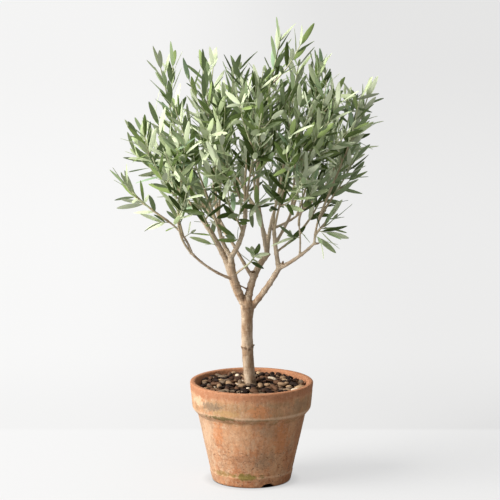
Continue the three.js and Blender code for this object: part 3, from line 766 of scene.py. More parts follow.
# ---- Finishes ------------------------------------------------------------------------------
class Finish:
    """A material whose patterns lie on Object coordinates, with sizes and places in millimetres."""

    def __init__(self, name, roughness, specular=0.5):
        self.material = bpy.data.materials.new(name)
        self.material.use_nodes = True
        tree = self.material.node_tree
        self.nodes, self.links = tree.nodes, tree.links
        self.shader = tree.nodes["Principled BSDF"]
        self.shader.inputs["Roughness"].default_value = roughness
        self.shader.inputs["Specular IOR Level"].default_value = specular
        self.place = self.nodes.new("ShaderNodeTexCoord").outputs["Object"]

    def node(self, kind, feeds, **settings):
        """A new node with its settings, whose sockets are fed by name or place."""
        made = self.nodes.new("ShaderNode" + kind)
        for name, value in settings.items():
            setattr(made, name, value)
        for socket, value in feeds.items():
            self.feed(made.inputs[socket], value)
        return made

    def feed(self, socket, value):
        """Links a socket to another one, or sets it to a plain value."""
        if isinstance(value, bpy.types.NodeSocket):
            self.links.new(value, socket)
        else:
            socket.default_value = value

    def grain(self, size, detail=3, stretch=(1, 1, 1), seed=0, rough=0.5):
        """Noise from 0 to 1 with lumps of about that size, drawn out by stretch."""
        scale = [1 / (size * MM * s) for s in stretch]
        moved = {"Vector": self.place, "Location": (seed, 3 * seed, 0), "Scale": scale}
        spot = self.node("Mapping", moved).outputs[0]
        feeds = {"Vector": spot, "Scale": 1, "Detail": detail, "Roughness": rough}
        return self.node("TexNoise", feeds).outputs["Fac"]

    def step(self, value, low, high):
        """0 below low, 1 above high and smooth between them, or the other way round."""
        feeds = {"Value": value, "From Min": low, "From Max": high}
        return self.node("MapRange", feeds, interpolation_type="SMOOTHSTEP").outputs["Result"]

    def belt(self, value, low, high):
        """1 between two edges and 0 outside them, each given by where it starts and is full."""
        return self.times(self.step(value, *low), self.step(value, *high))

    def math(self, operation, a, b=0.0):
        """A sum, difference or product of two values."""
        return self.node("Math", {0: a, 1: b}, operation=operation).outputs[0]

    def times(self, *values):
        """The product of the values, in turn."""
        return functools.reduce(lambda a, b: self.math("MULTIPLY", a, b), values)

    def times_add(self, value, factor, more):
        """The value times a factor, plus more."""
        feeds = {0: value, 1: factor, 2: more}
        return self.node("Math", feeds, operation="MULTIPLY_ADD").outputs[0]

    def blend(self, factor, a, b):
        """A mix of two colours."""
        return self.node("Mix", {0: factor, 6: a, 7: b}, data_type="RGBA").outputs[2]

    def coat(self, colour, tint, *shares):
        """A colour with a tint laid over it, by the product of the shares."""
        return self.blend(self.times(*shares), colour, tint)

    def axis(self, letter):
        """The place along an axis, in metres."""
        return self.node("SeparateXYZ", {0: self.place}).outputs[letter.upper()]

    def near(self, place, size, ragged=0.8, lump=12, seed=0):
        """1 around a place and 0 past its size on each axis: a smooth step on the distance in sizes
        from 1.15 down to 0.45, with an edge made ragged by noise."""
        shift = {0: self.place, 1: [-v * MM for v in place]}
        off = self.node("VectorMath", shift, operation="ADD").outputs[0]
        scaled = {0: off, 1: [1 / (s * MM) for s in size]}
        spread = self.node("VectorMath", scaled, operation="MULTIPLY").outputs[0]
        away = self.node("VectorMath", {0: spread}, operation="LENGTH").outputs["Value"]
        grain = self.grain(lump, 5, seed=seed, rough=0.65)
        rough = self.times(self.math("SUBTRACT", grain, 0.5), 4 * ragged)
        return self.step(self.math("ADD", away, rough), 1.15, 0.45)

    def bump(self, height, depth, strength=1.0, under=None):
        """A normal for relief of that depth in millimetres, over the relief under it."""
        feeds = {"Height": height, "Distance": depth * MM, "Strength": strength}
        if under is not None:
            feeds["Normal"] = under
        return self.node("Bump", feeds).outputs[0]

    def close(self, colour, normal=None):
        """The finished material, with its colour and its relief."""
        self.feed(self.shader.inputs["Base Color"], colour)
        if normal is not None:
            self.feed(self.shader.inputs["Normal"], normal)
        return self.material


def rgba(colour):
    """A colour with full cover."""
    return (*colour, 1.0)


def clay_finish(found):
    """Old terracotta. Clouds of warmer clay, grey patina, dark runs and a salt bloom lie over each
    other, with more bloom on the left. Over them come a cleaner lip, a mossy seam, a worn foot, the
    stains, mottling, pits and scratches. Belts and steps on x and z are in metres."""
    clay, lip, bloom = (rgba(c) for c in (found.clay_colour, found.lip_colour, found.bloom_colour))
    tints = {name: rgba(srgb(*tone)) for name, tone in CLAY_TINTS.items()}
    tints.update(bloom=bloom, moss=rgba(found.moss_colour))
    make = Finish("clay", 0.88, 0.25)
    x, z = make.axis("x"), make.axis("z")
    cloud = make.grain(34, 6, stretch=(1, 1, 1.5), seed=3, rough=0.6)
    colour = make.coat(clay, tints["warm"], make.step(cloud, 0.4, 0.62))
    patina = make.grain(22, 7, stretch=(1, 1, 1.6), seed=14, rough=0.68)
    colour = make.coat(colour, tints["grey"], make.step(patina, 0.48, 0.58), 0.52)
    streak = make.grain(10, 5, stretch=(1, 1, 7), seed=8, rough=0.58)
    colour = make.coat(colour, tints["brown"], make.step(streak, 0.5, 0.62), 0.5)
    salt = make.step(make.grain(9, 8, stretch=(1, 1, 1.4), seed=19, rough=0.76), 0.48, 0.62)
    left = make.times_add(make.step(x, 0.05, -0.1), 0.5, 0.25)
    colour = make.coat(colour, bloom, salt, left)
    weather = make.step(make.grain(24, 5, seed=25, rough=0.6), 0.36, 0.58)
    collar = make.belt(z, (0.146, 0.156), (0.196, 0.186))
    colour = make.coat(colour, tints["olive"], collar, weather, 0.45)
    rim = make.step(make.math("ADD", z, make.times(cloud, 0.02)), 0.2, 0.21)
    colour = make.coat(colour, lip, rim, 0.85)
    seam = make.belt(z, (0.139, 0.144), (0.153, 0.146))
    colour = make.coat(colour, tints["green"], seam, weather, 0.4)
    edge = make.belt(z, (0.152, 0.1555), (0.162, 0.158))
    colour = make.coat(colour, tints["pale"], edge, 0.6)
    foot = make.times(make.step(z, 0.024, 0.012), make.step(make.grain(16, 4, seed=21), 0.3, 0.6))
    colour = make.coat(colour, tints["brown"], foot, 0.6)
    ring = make.belt(z, (0.02, 0.0225), (0.0265, 0.0245))
    colour = make.coat(colour, tints["pale"], ring, 0.28)
    veil = make.times(make.step(x, -0.045, -0.105), make.step(z, 0.17, 0.14))
    colour = make.coat(colour, tints["veil"], veil, 0.5)
    for place, size, share, tint in CLAY_STAINS:
        stain = make.near(place, size, 0.8, 9, seed=sum(place) * 0.01)
        colour = make.coat(colour, tints[tint], stain, share)
    mottle = make.grain(6, 6, seed=27, rough=0.72)
    colour = make.coat(colour, tints["dark"], make.step(mottle, 0.53, 0.66), 0.32)
    colour = make.coat(colour, tints["pale"], make.step(mottle, 0.46, 0.34), 0.26)
    run = make.grain(2.6, 4, stretch=(1, 1, 9), seed=37, rough=0.6)
    colour = make.coat(colour, tints["dark"], make.step(run, 0.6, 0.7), 0.34)
    speck = make.grain(3.1, 3, stretch=(1.5, 1.5, 1), seed=31, rough=0.6)
    low = make.step(make.math("ADD", z, make.times(cloud, 0.08)), 0.16, 0.1)
    few = make.math("ADD", speck, make.times(low, 0.05))
    colour = make.coat(colour, tints["pit"], make.step(few, 0.67, 0.73), 0.75)
    scratch = make.grain(2.4, 4, stretch=(5, 5, 1), seed=47, rough=0.6)
    worn = make.belt(z, (0.03, 0.045), (0.095, 0.075))
    colour = make.coat(colour, tints["dark"], make.step(scratch, 0.6, 0.68), worn)
    coarse = make.bump(make.grain(6, 6, seed=41, rough=0.65), 0.9, 0.7)
    pits = make.bump(make.step(few, 0.74, 0.64), 0.5, 0.8, coarse)
    return make.close(colour, make.bump(make.grain(0.9, 3, seed=43), 0.16, 0.6, pits))


SOIL_DARK, SOIL_PALE = srgb(20, 13, 9), srgb(48, 34, 24)


def soil_finish():
    """Damp crumbs, darker in the hollows by painted shade."""
    make = Finish("soil", 0.95, 0.2)
    lumps = make.grain(4, 6, seed=2, rough=0.7)
    # The soil's dark tone, laid in the hollows of its bump, is painted shade.
    colour = make.coat(rgba(SOIL_DARK), rgba(SOIL_PALE), make.step(lumps, 0.35, 0.7))
    return make.close(colour, make.bump(lumps, 1.6, 0.9))


# Dark scars on the ring of old buds, at the fork, on cut ends and at the soil: place and size in
# millimetres, and how much of the bark they hide.
BARK_SCARS = (
    ((-19, 2, 284), (9, 16, 3), 0.8),
    ((3, 3, 286), (9, 16, 3), 0.8),
    ((-13, -10, 284), (4, 6, 5), 0.9),
    ((-4, -12, 281), (5, 8, 5), 0.75),
    ((-16, -12, 372), (4, 8, 10), 0.6),
    ((-5, -14, 368), (4, 8, 9), 0.55),
    ((3, -10, 377), (5, 8, 6), 0.5),
    ((-15, -8, 391), (5, 12, 8), 0.8),
    ((2, -3, 448), (9, 9, 5), 0.95),
    ((-10, 2, 409), (7, 7, 7), 0.8),
    ((65, -31, 472), (7, 7, 6), 0.8),
    ((138, -63, 517), (6, 6, 6), 0.7),
    ((45, -28, 542), (7, 7, 6), 0.6),
    ((4, 4, 205), (9, 16, 16), 0.7),
)
# Warm clouds, dust, the younger bark higher up, and corky dots.
BARK_TONES = ((152, 122, 94), (206, 186, 160), (214, 200, 176), (216, 198, 174))


def bark_finish(found):
    """Smooth young bark: warm clouds, pale dust, dark streaks, grain and rings, corky dots, paler
    wood above a step on z in metres, and dark scars."""
    light, dark = rgba(found.bark_colour), rgba(found.crease_colour)
    warm, dusty, young, corky = (rgba(srgb(*tone)) for tone in BARK_TONES)
    make = Finish("bark", 0.84, 0.25)
    cloud = make.grain(18, 5, stretch=(1, 1, 2), seed=9, rough=0.6)
    colour = make.coat(light, warm, make.step(cloud, 0.34, 0.66))
    dust = make.grain(11, 6, stretch=(1, 1, 1.6), seed=17, rough=0.65)
    colour = make.coat(colour, dusty, make.step(dust, 0.5, 0.7), 0.6)
    streak = make.grain(4.5, 5, stretch=(1, 1, 5), seed=4, rough=0.6)
    colour = make.coat(colour, dark, make.step(streak, 0.52, 0.74), 0.55)
    grain = make.grain(1.5, 4, stretch=(1, 1, 2), seed=29, rough=0.6)
    colour = make.coat(colour, dark, make.step(grain, 0.54, 0.7), 0.4)
    colour = make.coat(colour, young, make.step(make.axis("z"), 0.38, 0.56), 0.5)
    dots = make.grain(1.7, 2, stretch=(1.6, 1.6, 1), seed=23)
    colour = make.coat(colour, corky, make.step(dots, 0.64, 0.76), 0.5)
    rings = make.grain(3, 3, stretch=(9, 9, 1), seed=12)
    colour = make.coat(colour, dark, make.step(rings, 0.58, 0.7), 0.35)
    for place, size, share in BARK_SCARS:
        colour = make.coat(colour, dark, make.near(place, size, 0.5, 4), share)
    relief = make.bump(streak, 0.5, 0.5)
    return make.close(colour, make.bump(grain, 0.3, 0.7, relief))


def plain(name, colour, roughness, specular=0.5):
    """A plain colour for one of many small things, whose colours are dealt out piece by piece."""
    return Finish(name, roughness, specular).close(rgba(colour))


# Shares of a colour's channels that the darkest upper side, which is painted shade, the bluish one and
# the underside in painted shade have.
DARK_SHARES, BLUE_SHARES, DEEP_SHARES = (0.29, 0.33, 0.22), (0.86, 1.0, 1.14), (0.44, 0.52, 0.38)
UPPER_ROUGHNESS, UNDER_ROUGHNESS, LEAF_SPECULAR = 0.4, 0.72, 0.2


def scaled(colour, shares):
    """A colour with each of its channels times its share."""
    return [v * k for v, k in zip(colour, shares)]


def between(a, b, share):
    """A colour mixed from two."""
    return [mix(v, w, share) for v, w in zip(a, b)]


def leaf_finishes(found):
    """Plain upper sides from old to young with a low gloss, among them a copy in painted shade and a
    pale one in painted light, and matt silvery undersides, one of them a copy in painted shade.
    """
    old, light, young = found.upper_colour, found.light_colour, found.young_colour
    under, middle = found.under_colour, between(old, light, 0.45)
    # Copies in painted shade: the darkest upper side and the shaded underside; the pale upper side is
    # painted light.
    uppers = (scaled(old, DARK_SHARES), old, middle, light, young, scaled(middle, BLUE_SHARES))
    unders = (under, scaled(under, DEEP_SHARES), between(under, young, 0.5))
    roughness = [UPPER_ROUGHNESS] * len(uppers) + [UNDER_ROUGHNESS] * len(unders)
    return [plain(*row, LEAF_SPECULAR) for row in zip(LEAF_SLOTS, uppers + unders, roughness)]


# ---- Pot -----------------------------------------------------------------------------------
FOOT_RADIUS = 82.5
LIP_RADIUS = RIM_RADIUS - 11.5  # of the opening
BASE_RADIUS, BASE_TOP = 72.5, 12  # of the floor inside
# Corners of the pot's section: radius, height and rounding, from the middle of the foot round the
# outside and over the lip to the middle of the floor inside.
POT_CORNERS = [
    (0, 0, 0),
    (FOOT_RADIUS, 0, 5),
    (87.7, 22, 1.6),
    (87.2, 25, 1.6),
    (113.3, 144, 1.2),
    (124.4, 156.5, 4),
    (RIM_RADIUS, POT_HEIGHT, 4.4),
    (LIP_RADIUS, POT_HEIGHT, 4.2),
    (BASE_RADIUS, BASE_TOP, 6),
    (0, BASE_TOP, 0),
]
SECTION_SPACING = 1.3  # between the points of the section outside
LIP_POINTS, INSIDE_STRIDE = 14, 4  # points past the lip's top that are kept, and then one in four
NOTCH = {"heading": 25, "width": 30, "height": 8.5}
PIT_SIZE, PIT_DEPTH = 5.5, 0.9
RING_SIZE, RING_DEPTH = 4.5, 0.16  # of the wheel's rings
LUMP_SIZE, LUMP_DEPTH = 18, 0.22
WEAR_SIZE, WEAR_DEPTH = 9, 0.4  # of what is worn off the lip

CLAY_TINTS = {
    "warm": (187, 130, 91),
    "grey": (170, 134, 104),
    "brown": (154, 96, 60),
    "dark": (108, 72, 50),
    "pit": (72, 48, 32),
    "veil": (172, 148, 124),
    "pale": (218, 184, 152),
    "peach": (206, 158, 120),
    "orange": (196, 131, 86),
    "ochre": (184, 148, 98),
    "olive": (146, 122, 88),
    "slate": (132, 112, 90),
    "green": (112, 98, 56),
}
# Stains on the clay: place and size in millimetres, how much of the clay they hide, and the tint.
CLAY_STAINS = [
    ((-110, -66, 182), (20, 40, 11), 0.7, "pale"),
    ((-86, -95, 177), (34, 34, 11), 0.85, "slate"),
    ((-51, -113, 167), (36, 30, 10), 0.6, "ochre"),
    ((-70, -104, 155), (44, 34, 5), 0.9, "green"),
    ((20, -124, 154), (60, 34, 2.5), 0.45, "green"),
    ((18, -127, 174), (34, 24, 15), 0.7, "orange"),
    ((80, -96, 176), (30, 30, 12), 0.4, "peach"),
    ((-94, -58, 108), (16, 40, 40), 0.35, "pale"),
    ((-68, -78, 118), (14, 24, 34), 0.7, "orange"),
    ((-34, -92, 108), (34, 30, 30), 0.45, "peach"),
    ((62, -82, 108), (20, 34, 38), 0.75, "orange"),
    ((34, -100, 128), (22, 30, 16), 0.35, "slate"),
    ((100, -34, 118), (22, 44, 34), 0.35, "brown"),
    ((-8, -88, 56), (60, 30, 20), 0.4, "grey"),
    ((-14, -86, 25), (34, 30, 8), 0.95, "moss"),
    ((-60, -62, 27), (30, 34, 6), 0.6, "moss"),
    ((-20, -92, 66), (40, 30, 14), 0.3, "brown"),
    ((24, -90, 62), (24, 30, 24), 0.4, "slate"),
    ((96, -80, 178), (24, 30, 13), 0.35, "slate"),
]


def rounded(corners, spacing):
    """A section through corners, each rounded by a quadratic arc between points at its rounding's
    distance on both sides, read evenly at about the spacing."""
    corners = np.array(corners, float)
    line = [corners[:1, :2]]
    t = np.linspace(0, 1, 9)[:, None]
    for before, corner, after in zip(corners, corners[1:], corners[2:]):
        c = corner[:2]
        a = c + unit(before[:2] - c) * corner[2]
        b = c + unit(after[:2] - c) * corner[2]
        line.append((1 - t) ** 2 * a + 2 * t * (1 - t) * c + t**2 * b)
    line = np.vstack(line + [corners[-1:, :2]])
    far = np.concatenate([[0], np.cumsum(np.linalg.norm(np.diff(line, axis=0), axis=1))])
    even = np.linspace(0, far[-1], max(3, round(far[-1] / spacing)))
    return np.stack([np.interp(even, far, part) for part in line.T], axis=1)


def pot_section():
    """The pot's whole section, with every point outside, and fewer inside and under the foot."""
    line = rounded(POT_CORNERS, SECTION_SPACING)
    place = np.arange(len(line))
    outside = (place <= line[:, 1].argmax() + LIP_POINTS) & (line[:, 1] > 0.05)
    return line[outside | (place % INSIDE_STRIDE == 0) | (place == len(line) - 1)]


def clay_relief(wobble):
    """How far the clay stands out, by angle and height: a slow wobble round the pot, the wheel's
    faint rings and lumps by noise, less pits where other noise falls below -0.62, and less wear by
    noise above 0.25, which dies away 5 mm below the lip. All of it fades out under the foot."""

    def shift(angle, radius, height):
        spot = np.stack([radius * np.cos(angle), radius * np.sin(angle), height], axis=-1)
        slow = wobble * noise(spot * [1, 1, 0.6], 90)
        level = np.stack([0 * height, 0 * height, height], axis=-1)
        rings = RING_DEPTH * noise(level + 0.06 * spot, RING_SIZE)
        lumps = LUMP_DEPTH * ridged(spot, LUMP_SIZE)
        depth = np.clip(-noise(spot + 500, PIT_SIZE) - 0.62, 0, 0.3) / 0.3
        outside = np.clip((radius - 60) / 8, 0, 1) * np.clip(height / 3, 0, 1)
        worn = WEAR_DEPTH * np.clip(noise(spot + 90, WEAR_SIZE) - 0.25, 0, 1)
        wear = worn * np.exp(-(((height - POT_HEIGHT) / 5) ** 2))
        out = (slow + rings + lumps - PIT_DEPTH * depth - wear) * outside
        return out, -0.5 * wear * outside

    return shift


def cut_notch(pot):
    """The half-round drainage notch under the foot, cut by a Boolean with a squashed round bar that
    starts 40 mm inside the foot's edge and ends 12 mm outside it."""
    shell = Shell()
    angle = math.radians(NOTCH["heading"])
    out = np.array([math.sin(angle), -math.cos(angle), 0])
    path = Path(out * (FOOT_RADIUS - 40), out * (FOOT_RADIUS + 12))
    add_bar(shell, path, NOTCH["width"] / 2, 40, np.linspace(0, 1, 3))
    shell.points[0] = shell.points[0] * [1, 1, 2 * NOTCH["height"] / NOTCH["width"]]
    cutter = shell.make("notch_cutter", [])
    cut = pot.modifiers.new("notch", "BOOLEAN")
    cut.operation, cut.solver, cut.object = "DIFFERENCE", "EXACT", cutter
    settle(pot)
    bpy.data.objects.remove(cutter)


def settle(piece):
    """Applies a piece's modifiers to its mesh."""
    evaluated = piece.evaluated_get(bpy.context.evaluated_depsgraph_get())
    mesh = bpy.data.meshes.new_from_object(evaluated)
    piece.modifiers.clear()
    old, piece.data = piece.data, mesh
    bpy.data.meshes.remove(old)


# ---- Soil and pebbles ----------------------------------------------------------------------
SOIL_FOOT = 14
SOIL_CLEAR = 0.6  # between the soil and the wall
SOIL_RISE = 8  # the crumbs come up between the lowest pebbles by this
SOIL_RINGS = 24  # of its crumbly top
CRUMB_SIZE, CRUMB_RISE = 7, 1.2
PEBBLE_MIDDLE, PEBBLE_EDGE = 209.5, 206  # heights of the dressing
PEBBLE_AROUND, PEBBLE_UP = 10, 6  # faces round a pebble and up it
# A pebble's length as a share of the usual one, and its breadth and thickness as shares of the
# length and the breadth.
PEBBLE_LONG, PEBBLE_BROAD, PEBBLE_THICK = (0.55, 1.25), (0.4, 0.62), (0.5, 0.9)
PEBBLE_LUMP = 0.13  # share of its radius
PEBBLE_TILT = 0.5  # radians between the furthest tilts
PEBBLE_CLEAR = 88  # percent of a pebble's underside that is clear of what lies below
PEBBLE_PROUD = 2.5  # a pebble may stand above the dressing's surface by about this
TRUNK_ROOM = 14.5  # radius round the trunk where no pebble lies
SPREAD_STEP = 0.7548777  # from pebble to pebble, in the share of the dressing's area inside it
# Slots of the dressing: the colour, and the share of the pebbles that have it.
PEBBLE_SLOTS = {
    "pebble_umber": (srgb(64, 41, 27), 0.25),
    "pebble_black": (srgb(34, 19, 11), 0.25),
    "pebble_rust": (srgb(94, 66, 46), 0.14),
    "pebble_grey": (srgb(112, 94, 76), 0.13),
    "pebble_tan": (srgb(146, 118, 90), 0.12),
    "pebble_sand": (srgb(178, 148, 114), 0.07),
    "pebble_cream": (srgb(222, 202, 176), 0.04),
}


def crumbs(angle, radius, height):
    """No shift outwards, and on top a rise by ridged noise."""
    spot = np.stack([radius * np.cos(angle), radius * np.sin(angle), height], axis=-1)
    return 0 * radius, np.where(height > SOIL_TOP, CRUMB_RISE * ridged(spot, CRUMB_SIZE), 0)


def inner_radius(height):
    """The straight inside wall's radius at a height."""
    return mix(BASE_RADIUS, LIP_RADIUS, (height - BASE_TOP) / (POT_HEIGHT - BASE_TOP))


def pebble_top(radius):
    """The dressing's surface, mounded a little towards the middle."""
    return mix(PEBBLE_MIDDLE, PEBBLE_EDGE, (radius / inner_radius(PEBBLE_EDGE)) ** 2)


def pebble_beds(count, length):
    """Where each pebble comes to rest: they are let down one by one on a map of heights, and each
    one stops where about nine tenths of its underside is clear. One that would stand too proud is
    left out. Rows of place, half sizes, heading, two small tilts and seed."""
    wide = int(inner_radius(POT_HEIGHT)) + 2
    grid = np.arange(-wide, wide + 1.0)
    ground = np.full((len(grid), len(grid)), SOIL_TOP + SOIL_RISE, float)
    rows = []
    for k in range(count):
        a = length / 2 * mix(*PEBBLE_LONG, dice(k, 1))
        b = length / 2 * mix(*PEBBLE_BROAD, dice(k, 2)) * (a / length * 2) ** 0.3
        c = b * mix(*PEBBLE_THICK, dice(k, 3))
        far = (inner_radius(PEBBLE_EDGE) - a * 0.8) * math.sqrt((k * SPREAD_STEP) % 1)
        angle = math.radians(GOLDEN_ANGLE * k) + 0.4 * dice(k, 4)
        x, y = far * math.cos(angle), far * math.sin(angle)
        if math.hypot(x - TRUNK_FOOT[0], y - TRUNK_FOOT[1]) < TRUNK_ROOM + a * 0.85:
            continue
        turn = math.pi * dice(k, 5)
        i, j = int(round(x)) + wide, int(round(y)) + wide
        reach = int(a) + 2
        patch = (slice(max(i - reach, 0), i + reach + 1), slice(max(j - reach, 0), j + reach + 1))
        dx, dy = np.meshgrid(grid[patch[0]] - x, grid[patch[1]] - y, indexing="ij")
        along = dx * math.cos(turn) + dy * math.sin(turn)
        beside = dy * math.cos(turn) - dx * math.sin(turn)
        inside = 1 - (along / a) ** 2 - (beside / b) ** 2
        under = inside > 0.05
        cap = c * np.sqrt(np.maximum(inside, 0))
        z = np.percentile((ground[patch] + cap)[under], PEBBLE_CLEAR)
        if z + c * 0.6 > pebble_top(far) + PEBBLE_PROUD:
            continue
        ground[patch] = np.where(under, np.maximum(ground[patch], z + cap), ground[patch])
        tilts = [PEBBLE_TILT * (dice(k, n) - 0.5) for n in (6, 7)]
        rows.append((x, y, z, a, b, c, turn, *tilts, k))
    return np.array(rows)


def add_pebbles(shell, rows):
    """Worn stones: an ellipsoid, its radius changed by noise of its direction, turned and tilted on
    its bed. A row of the grid is a height, and its poles are closed by fans."""
    count = len(rows)
    around = np.arange(PEBBLE_AROUND) * 2 * math.pi / PEBBLE_AROUND
    rise = np.linspace(-math.pi / 2, math.pi / 2, PEBBLE_UP + 1)
    ring = rise[1:-1, None]
    flat = np.cos(ring)
    way = np.broadcast_arrays(flat * np.cos(around), flat * np.sin(around), np.sin(ring))
    way = np.stack(way, axis=-1)
    way = np.vstack([way.reshape(-1, 3), [[0, 0, -1], [0, 0, 1]]])
    seed = rows[:, -1][:, None, None]
    lump = 1 + PEBBLE_LUMP * noise(way[None] * 1.3 + seed * 3.1, 1.4)[..., None]
    body = way[None] * lump * rows[:, None, 3:6]
    turn, pitch, roll = (rows[:, k][:, None] for k in (6, 7, 8))
    x, y, z = np.moveaxis(body, -1, 0)
    x, z = x * np.cos(pitch) - z * np.sin(pitch), x * np.sin(pitch) + z * np.cos(pitch)
    y, z = y * np.cos(roll) - z * np.sin(roll), y * np.sin(roll) + z * np.cos(roll)
    x, y = x * np.cos(turn) - y * np.sin(turn), x * np.sin(turn) + y * np.cos(turn)
    points = np.stack([x, y, z], axis=-1) + rows[:, None, :3]
    each = len(way)
    last = each - 2 - PEBBLE_AROUND
    faces = [
        band(PEBBLE_UP - 1, PEBBLE_AROUND),
        fan(0, PEBBLE_AROUND, each - 2, closing=False),
        fan(last, PEBBLE_AROUND, each - 1, closing=True),
    ]
    offset = (np.arange(count) * each)[:, None, None]
    shares = np.cumsum([share for _, share in PEBBLE_SLOTS.values()])
    kind = np.digitize(dice(rows[:, -1], 9), shares[:-1])
    slots = [np.repeat(kind, len(f)) for f in faces]
    shell.add(points, [(f + offset).reshape(-1, f.shape[1]) for f in faces], slots)


# ---- Bark ----------------------------------------------------------------------------------
BUD_GAP, BUD_RISE, BUD_SPREAD = 21, 0.2, 1.9  # swellings along a bough, where leaves once stood
COLLAR_RISE, COLLAR_SPREAD = 0.28, 7  # the swelling at the foot of a bough
TRUNK_SIDES, TRUNK_RINGS = 28, 90
BOUGH_SIDES, BOUGH_SPACING = 16, 2.5  # and the way from ring to ring
SNAG_SIDES, SNAG_SPACING = 14, 3

# Dead snags, pruned stubs and grown-together wood: the points of each and its radii along the way.
SNAGS = {
    "crossing_snag": (((-23, -6, 417), (-9, 2, 408)), (1.3, 2.2)),
    "fork_snag": (((61, -26, 461), (66, -31, 474)), (3.2, 2.6, 1.9)),
    "foot_snag": (((51, -20, 441), (45, -25, 448)), (2.1, 1.3)),
    "pruned_stub": (((2, 7, 422), (3, 2, 434), (2.5, -3, 446)), (6.4, 6.6, 6.2, 6.0)),
    "left_knob": (((-119, -35, 488), (-129, -37, 493)), (3.1, 2.3)),
    "right_knob": (((127, -59, 515), (140, -64, 518)), (3.0, 2.1)),
    "ring_bud_left": (((-15, 2, 283), (-22.5, 1, 286)), (2.6, 1.4)),
    "ring_bud_right": (((-2, 3, 285), (7, 2, 289)), (3.0, 1.5)),
    "inner_knob": (((47, -27, 538), (43, -29, 544)), (4.0, 2.4)),
    "mid_left_knob": (((-62, -1, 516), (-57, -4, 521)), (3.6, 2.2)),
    "fork_heart": (((-8, 0, 360), (-10, -3, 398)), (13.2, 14.8, 13.6, 9.5, 3)),
    "twin_limb": (((-18, 2, 380), (-34, 6, 396), (-45, 7, 440), (-54, 3, 469)), (6.6, 6.2, 5.8, 5.4)),
}


def bough_radius(name, path, foot, tip, shares):
    """The taper, with a collar at the foot and small swellings at old buds."""
    along = shares * path.length
    seed = list(BOUGHS).index(name)
    buds = np.arange(BUD_GAP * mix(0.4, 1, dice(seed, 1)), path.length, BUD_GAP)
    bumps = np.exp(-(((along[:, None] - buds) / BUD_SPREAD) ** 2)).sum(axis=1)
    collar = COLLAR_RISE * np.exp(-along / COLLAR_SPREAD)
    return mix(foot, tip, shares) * (1 + BUD_RISE * bumps + collar)


def add_limbs(shell):
    """Round bars for the trunk and every bough, each begun inside the limb that carries it."""
    path, _, _ = limbs()["trunk"]
    shares = np.linspace(0, 1, TRUNK_RINGS)
    add_bar(shell, path, trunk_radius(path.at(shares)[:, 2]), TRUNK_SIDES, shares)
    for name, (path, foot, tip) in list(limbs().items())[1:]:
        shares = np.linspace(0, 1, max(6, round(path.length / BOUGH_SPACING)))
        add_bar(shell, path, bough_radius(name, path, foot, tip, shares), BOUGH_SIDES, shares)
    for points, radii in SNAGS.values():
        path = Path(*points)
        shares = np.linspace(0, 1, max(5, round(path.length / SNAG_SPACING)))
        radius = np.interp(shares, np.linspace(0, 1, len(radii)), radii)
        add_bar(shell, path, radius, SNAG_SIDES, shares)


def relieve_bark(mesh, depth):
    """Moves every point along its normal by the depth times 0.45 of ridged noise that is drawn out
    upwards and 0.5 of finer lumps. The higher on the plant, the less, down to 0.35 of it."""
    count = len(mesh.vertices)
    points, normals = np.empty(count * 3), np.empty(count * 3)
    mesh.vertices.foreach_get("co", points)
    mesh.vertex_normals.foreach_get("vector", normals)
    points, normals = points.reshape(-1, 3) / MM, normals.reshape(-1, 3)
    ridges = ridged(points * [1, 1, 0.3], 7)
    lumps = ridged(points * [1, 1, 0.8], 3.2, 2)
    thick = np.clip(1.25 - (points[:, 2] - 200) / 420, 0.35, 1)
    out = (depth / MM) * thick * (0.45 * ridges + 0.5 * lumps)
    moved = (points + normals * out[:, None]) * MM
    mesh.vertices.foreach_set("co", moved.astype(np.float32).ravel())
    mesh.update()


# ---- Settings ------------------------------------------------------------------------------
def length_setting(name, about, default, low=0.0, high=1.0):
    """A setting that is a length in metres."""
    return FloatProperty(
        name=name, description=about, default=default, min=low, max=high, unit="LENGTH", precision=4
    )


def colour_setting(name, about, default):
    """A setting that is a colour."""
    return FloatVectorProperty(
        name=name, description=about, default=default, subtype="COLOR", min=0, max=1
    )


class OlivePotSettings(bpy.types.PropertyGroup):
    wobble: length_setting("Wobble", "How far the thrown wall strays from a true circle", 0.0006)
    columns: IntProperty(name="Columns", description="Faces round the pot", default=300, min=24)
    clay_colour: colour_setting("Clay", "Main colour of the fired clay", srgb(196, 147, 108))
    lip_colour: colour_setting("Lip", "Cleaner clay along the lip", srgb(172, 117, 84))
    bloom_colour: colour_setting("Bloom", "Salts that have dried on the wall", srgb(206, 176, 146))
    moss_colour: colour_setting("Moss", "Algae near the foot", srgb(126, 110, 54))


class OlivePebbleSettings(bpy.types.PropertyGroup):
    count: IntProperty(name="Tries", description="Pebbles that are let down", default=1100, min=1)
    length: length_setting("Length", "Usual length of a pebble", 0.021, high=0.05)


class OliveBarkSettings(bpy.types.PropertyGroup):
    voxel: length_setting("Mesh Size", "Edge of the faces that the bark is made of", 0.001, low=0.0006)
    relief: length_setting("Relief", "Depth of the ridges on the trunk", 0.0006)
    bark_colour: colour_setting("Bark", "Main colour of the bark", srgb(197, 176, 151))
    crease_colour: colour_setting("Creases", "Colour of old bark in the creases", srgb(98, 72, 50))


class OliveFoliageSettings(bpy.types.PropertyGroup):
    leaf_length: length_setting("Leaf Length", "Length of a full-grown leaf", 0.057, high=0.12)
    leaf_width: length_setting("Leaf Width", "Width of a full-grown leaf", 0.0113, high=0.04)
    pair_gap: length_setting("Pair Gap", "Length of twig from one pair of leaves to the next", 0.0205)
    upper_colour: colour_setting("Old Leaf", "Upper side of an old leaf", srgb(140, 159, 96))
    light_colour: colour_setting("Leaf", "Upper side of a leaf in the light", srgb(202, 212, 176))
    young_colour: colour_setting("Young Leaf", "Upper side of a leaf at a tip", srgb(188, 199, 158))
    under_colour: colour_setting("Underside", "Underside with its silver scales", srgb(194, 202, 172))
    wood_colour: colour_setting("Twig", "Colour of a woody twig", srgb(190, 172, 142))
    green_colour: colour_setting("Green Twig", "Colour of this year's growth", srgb(186, 188, 150))


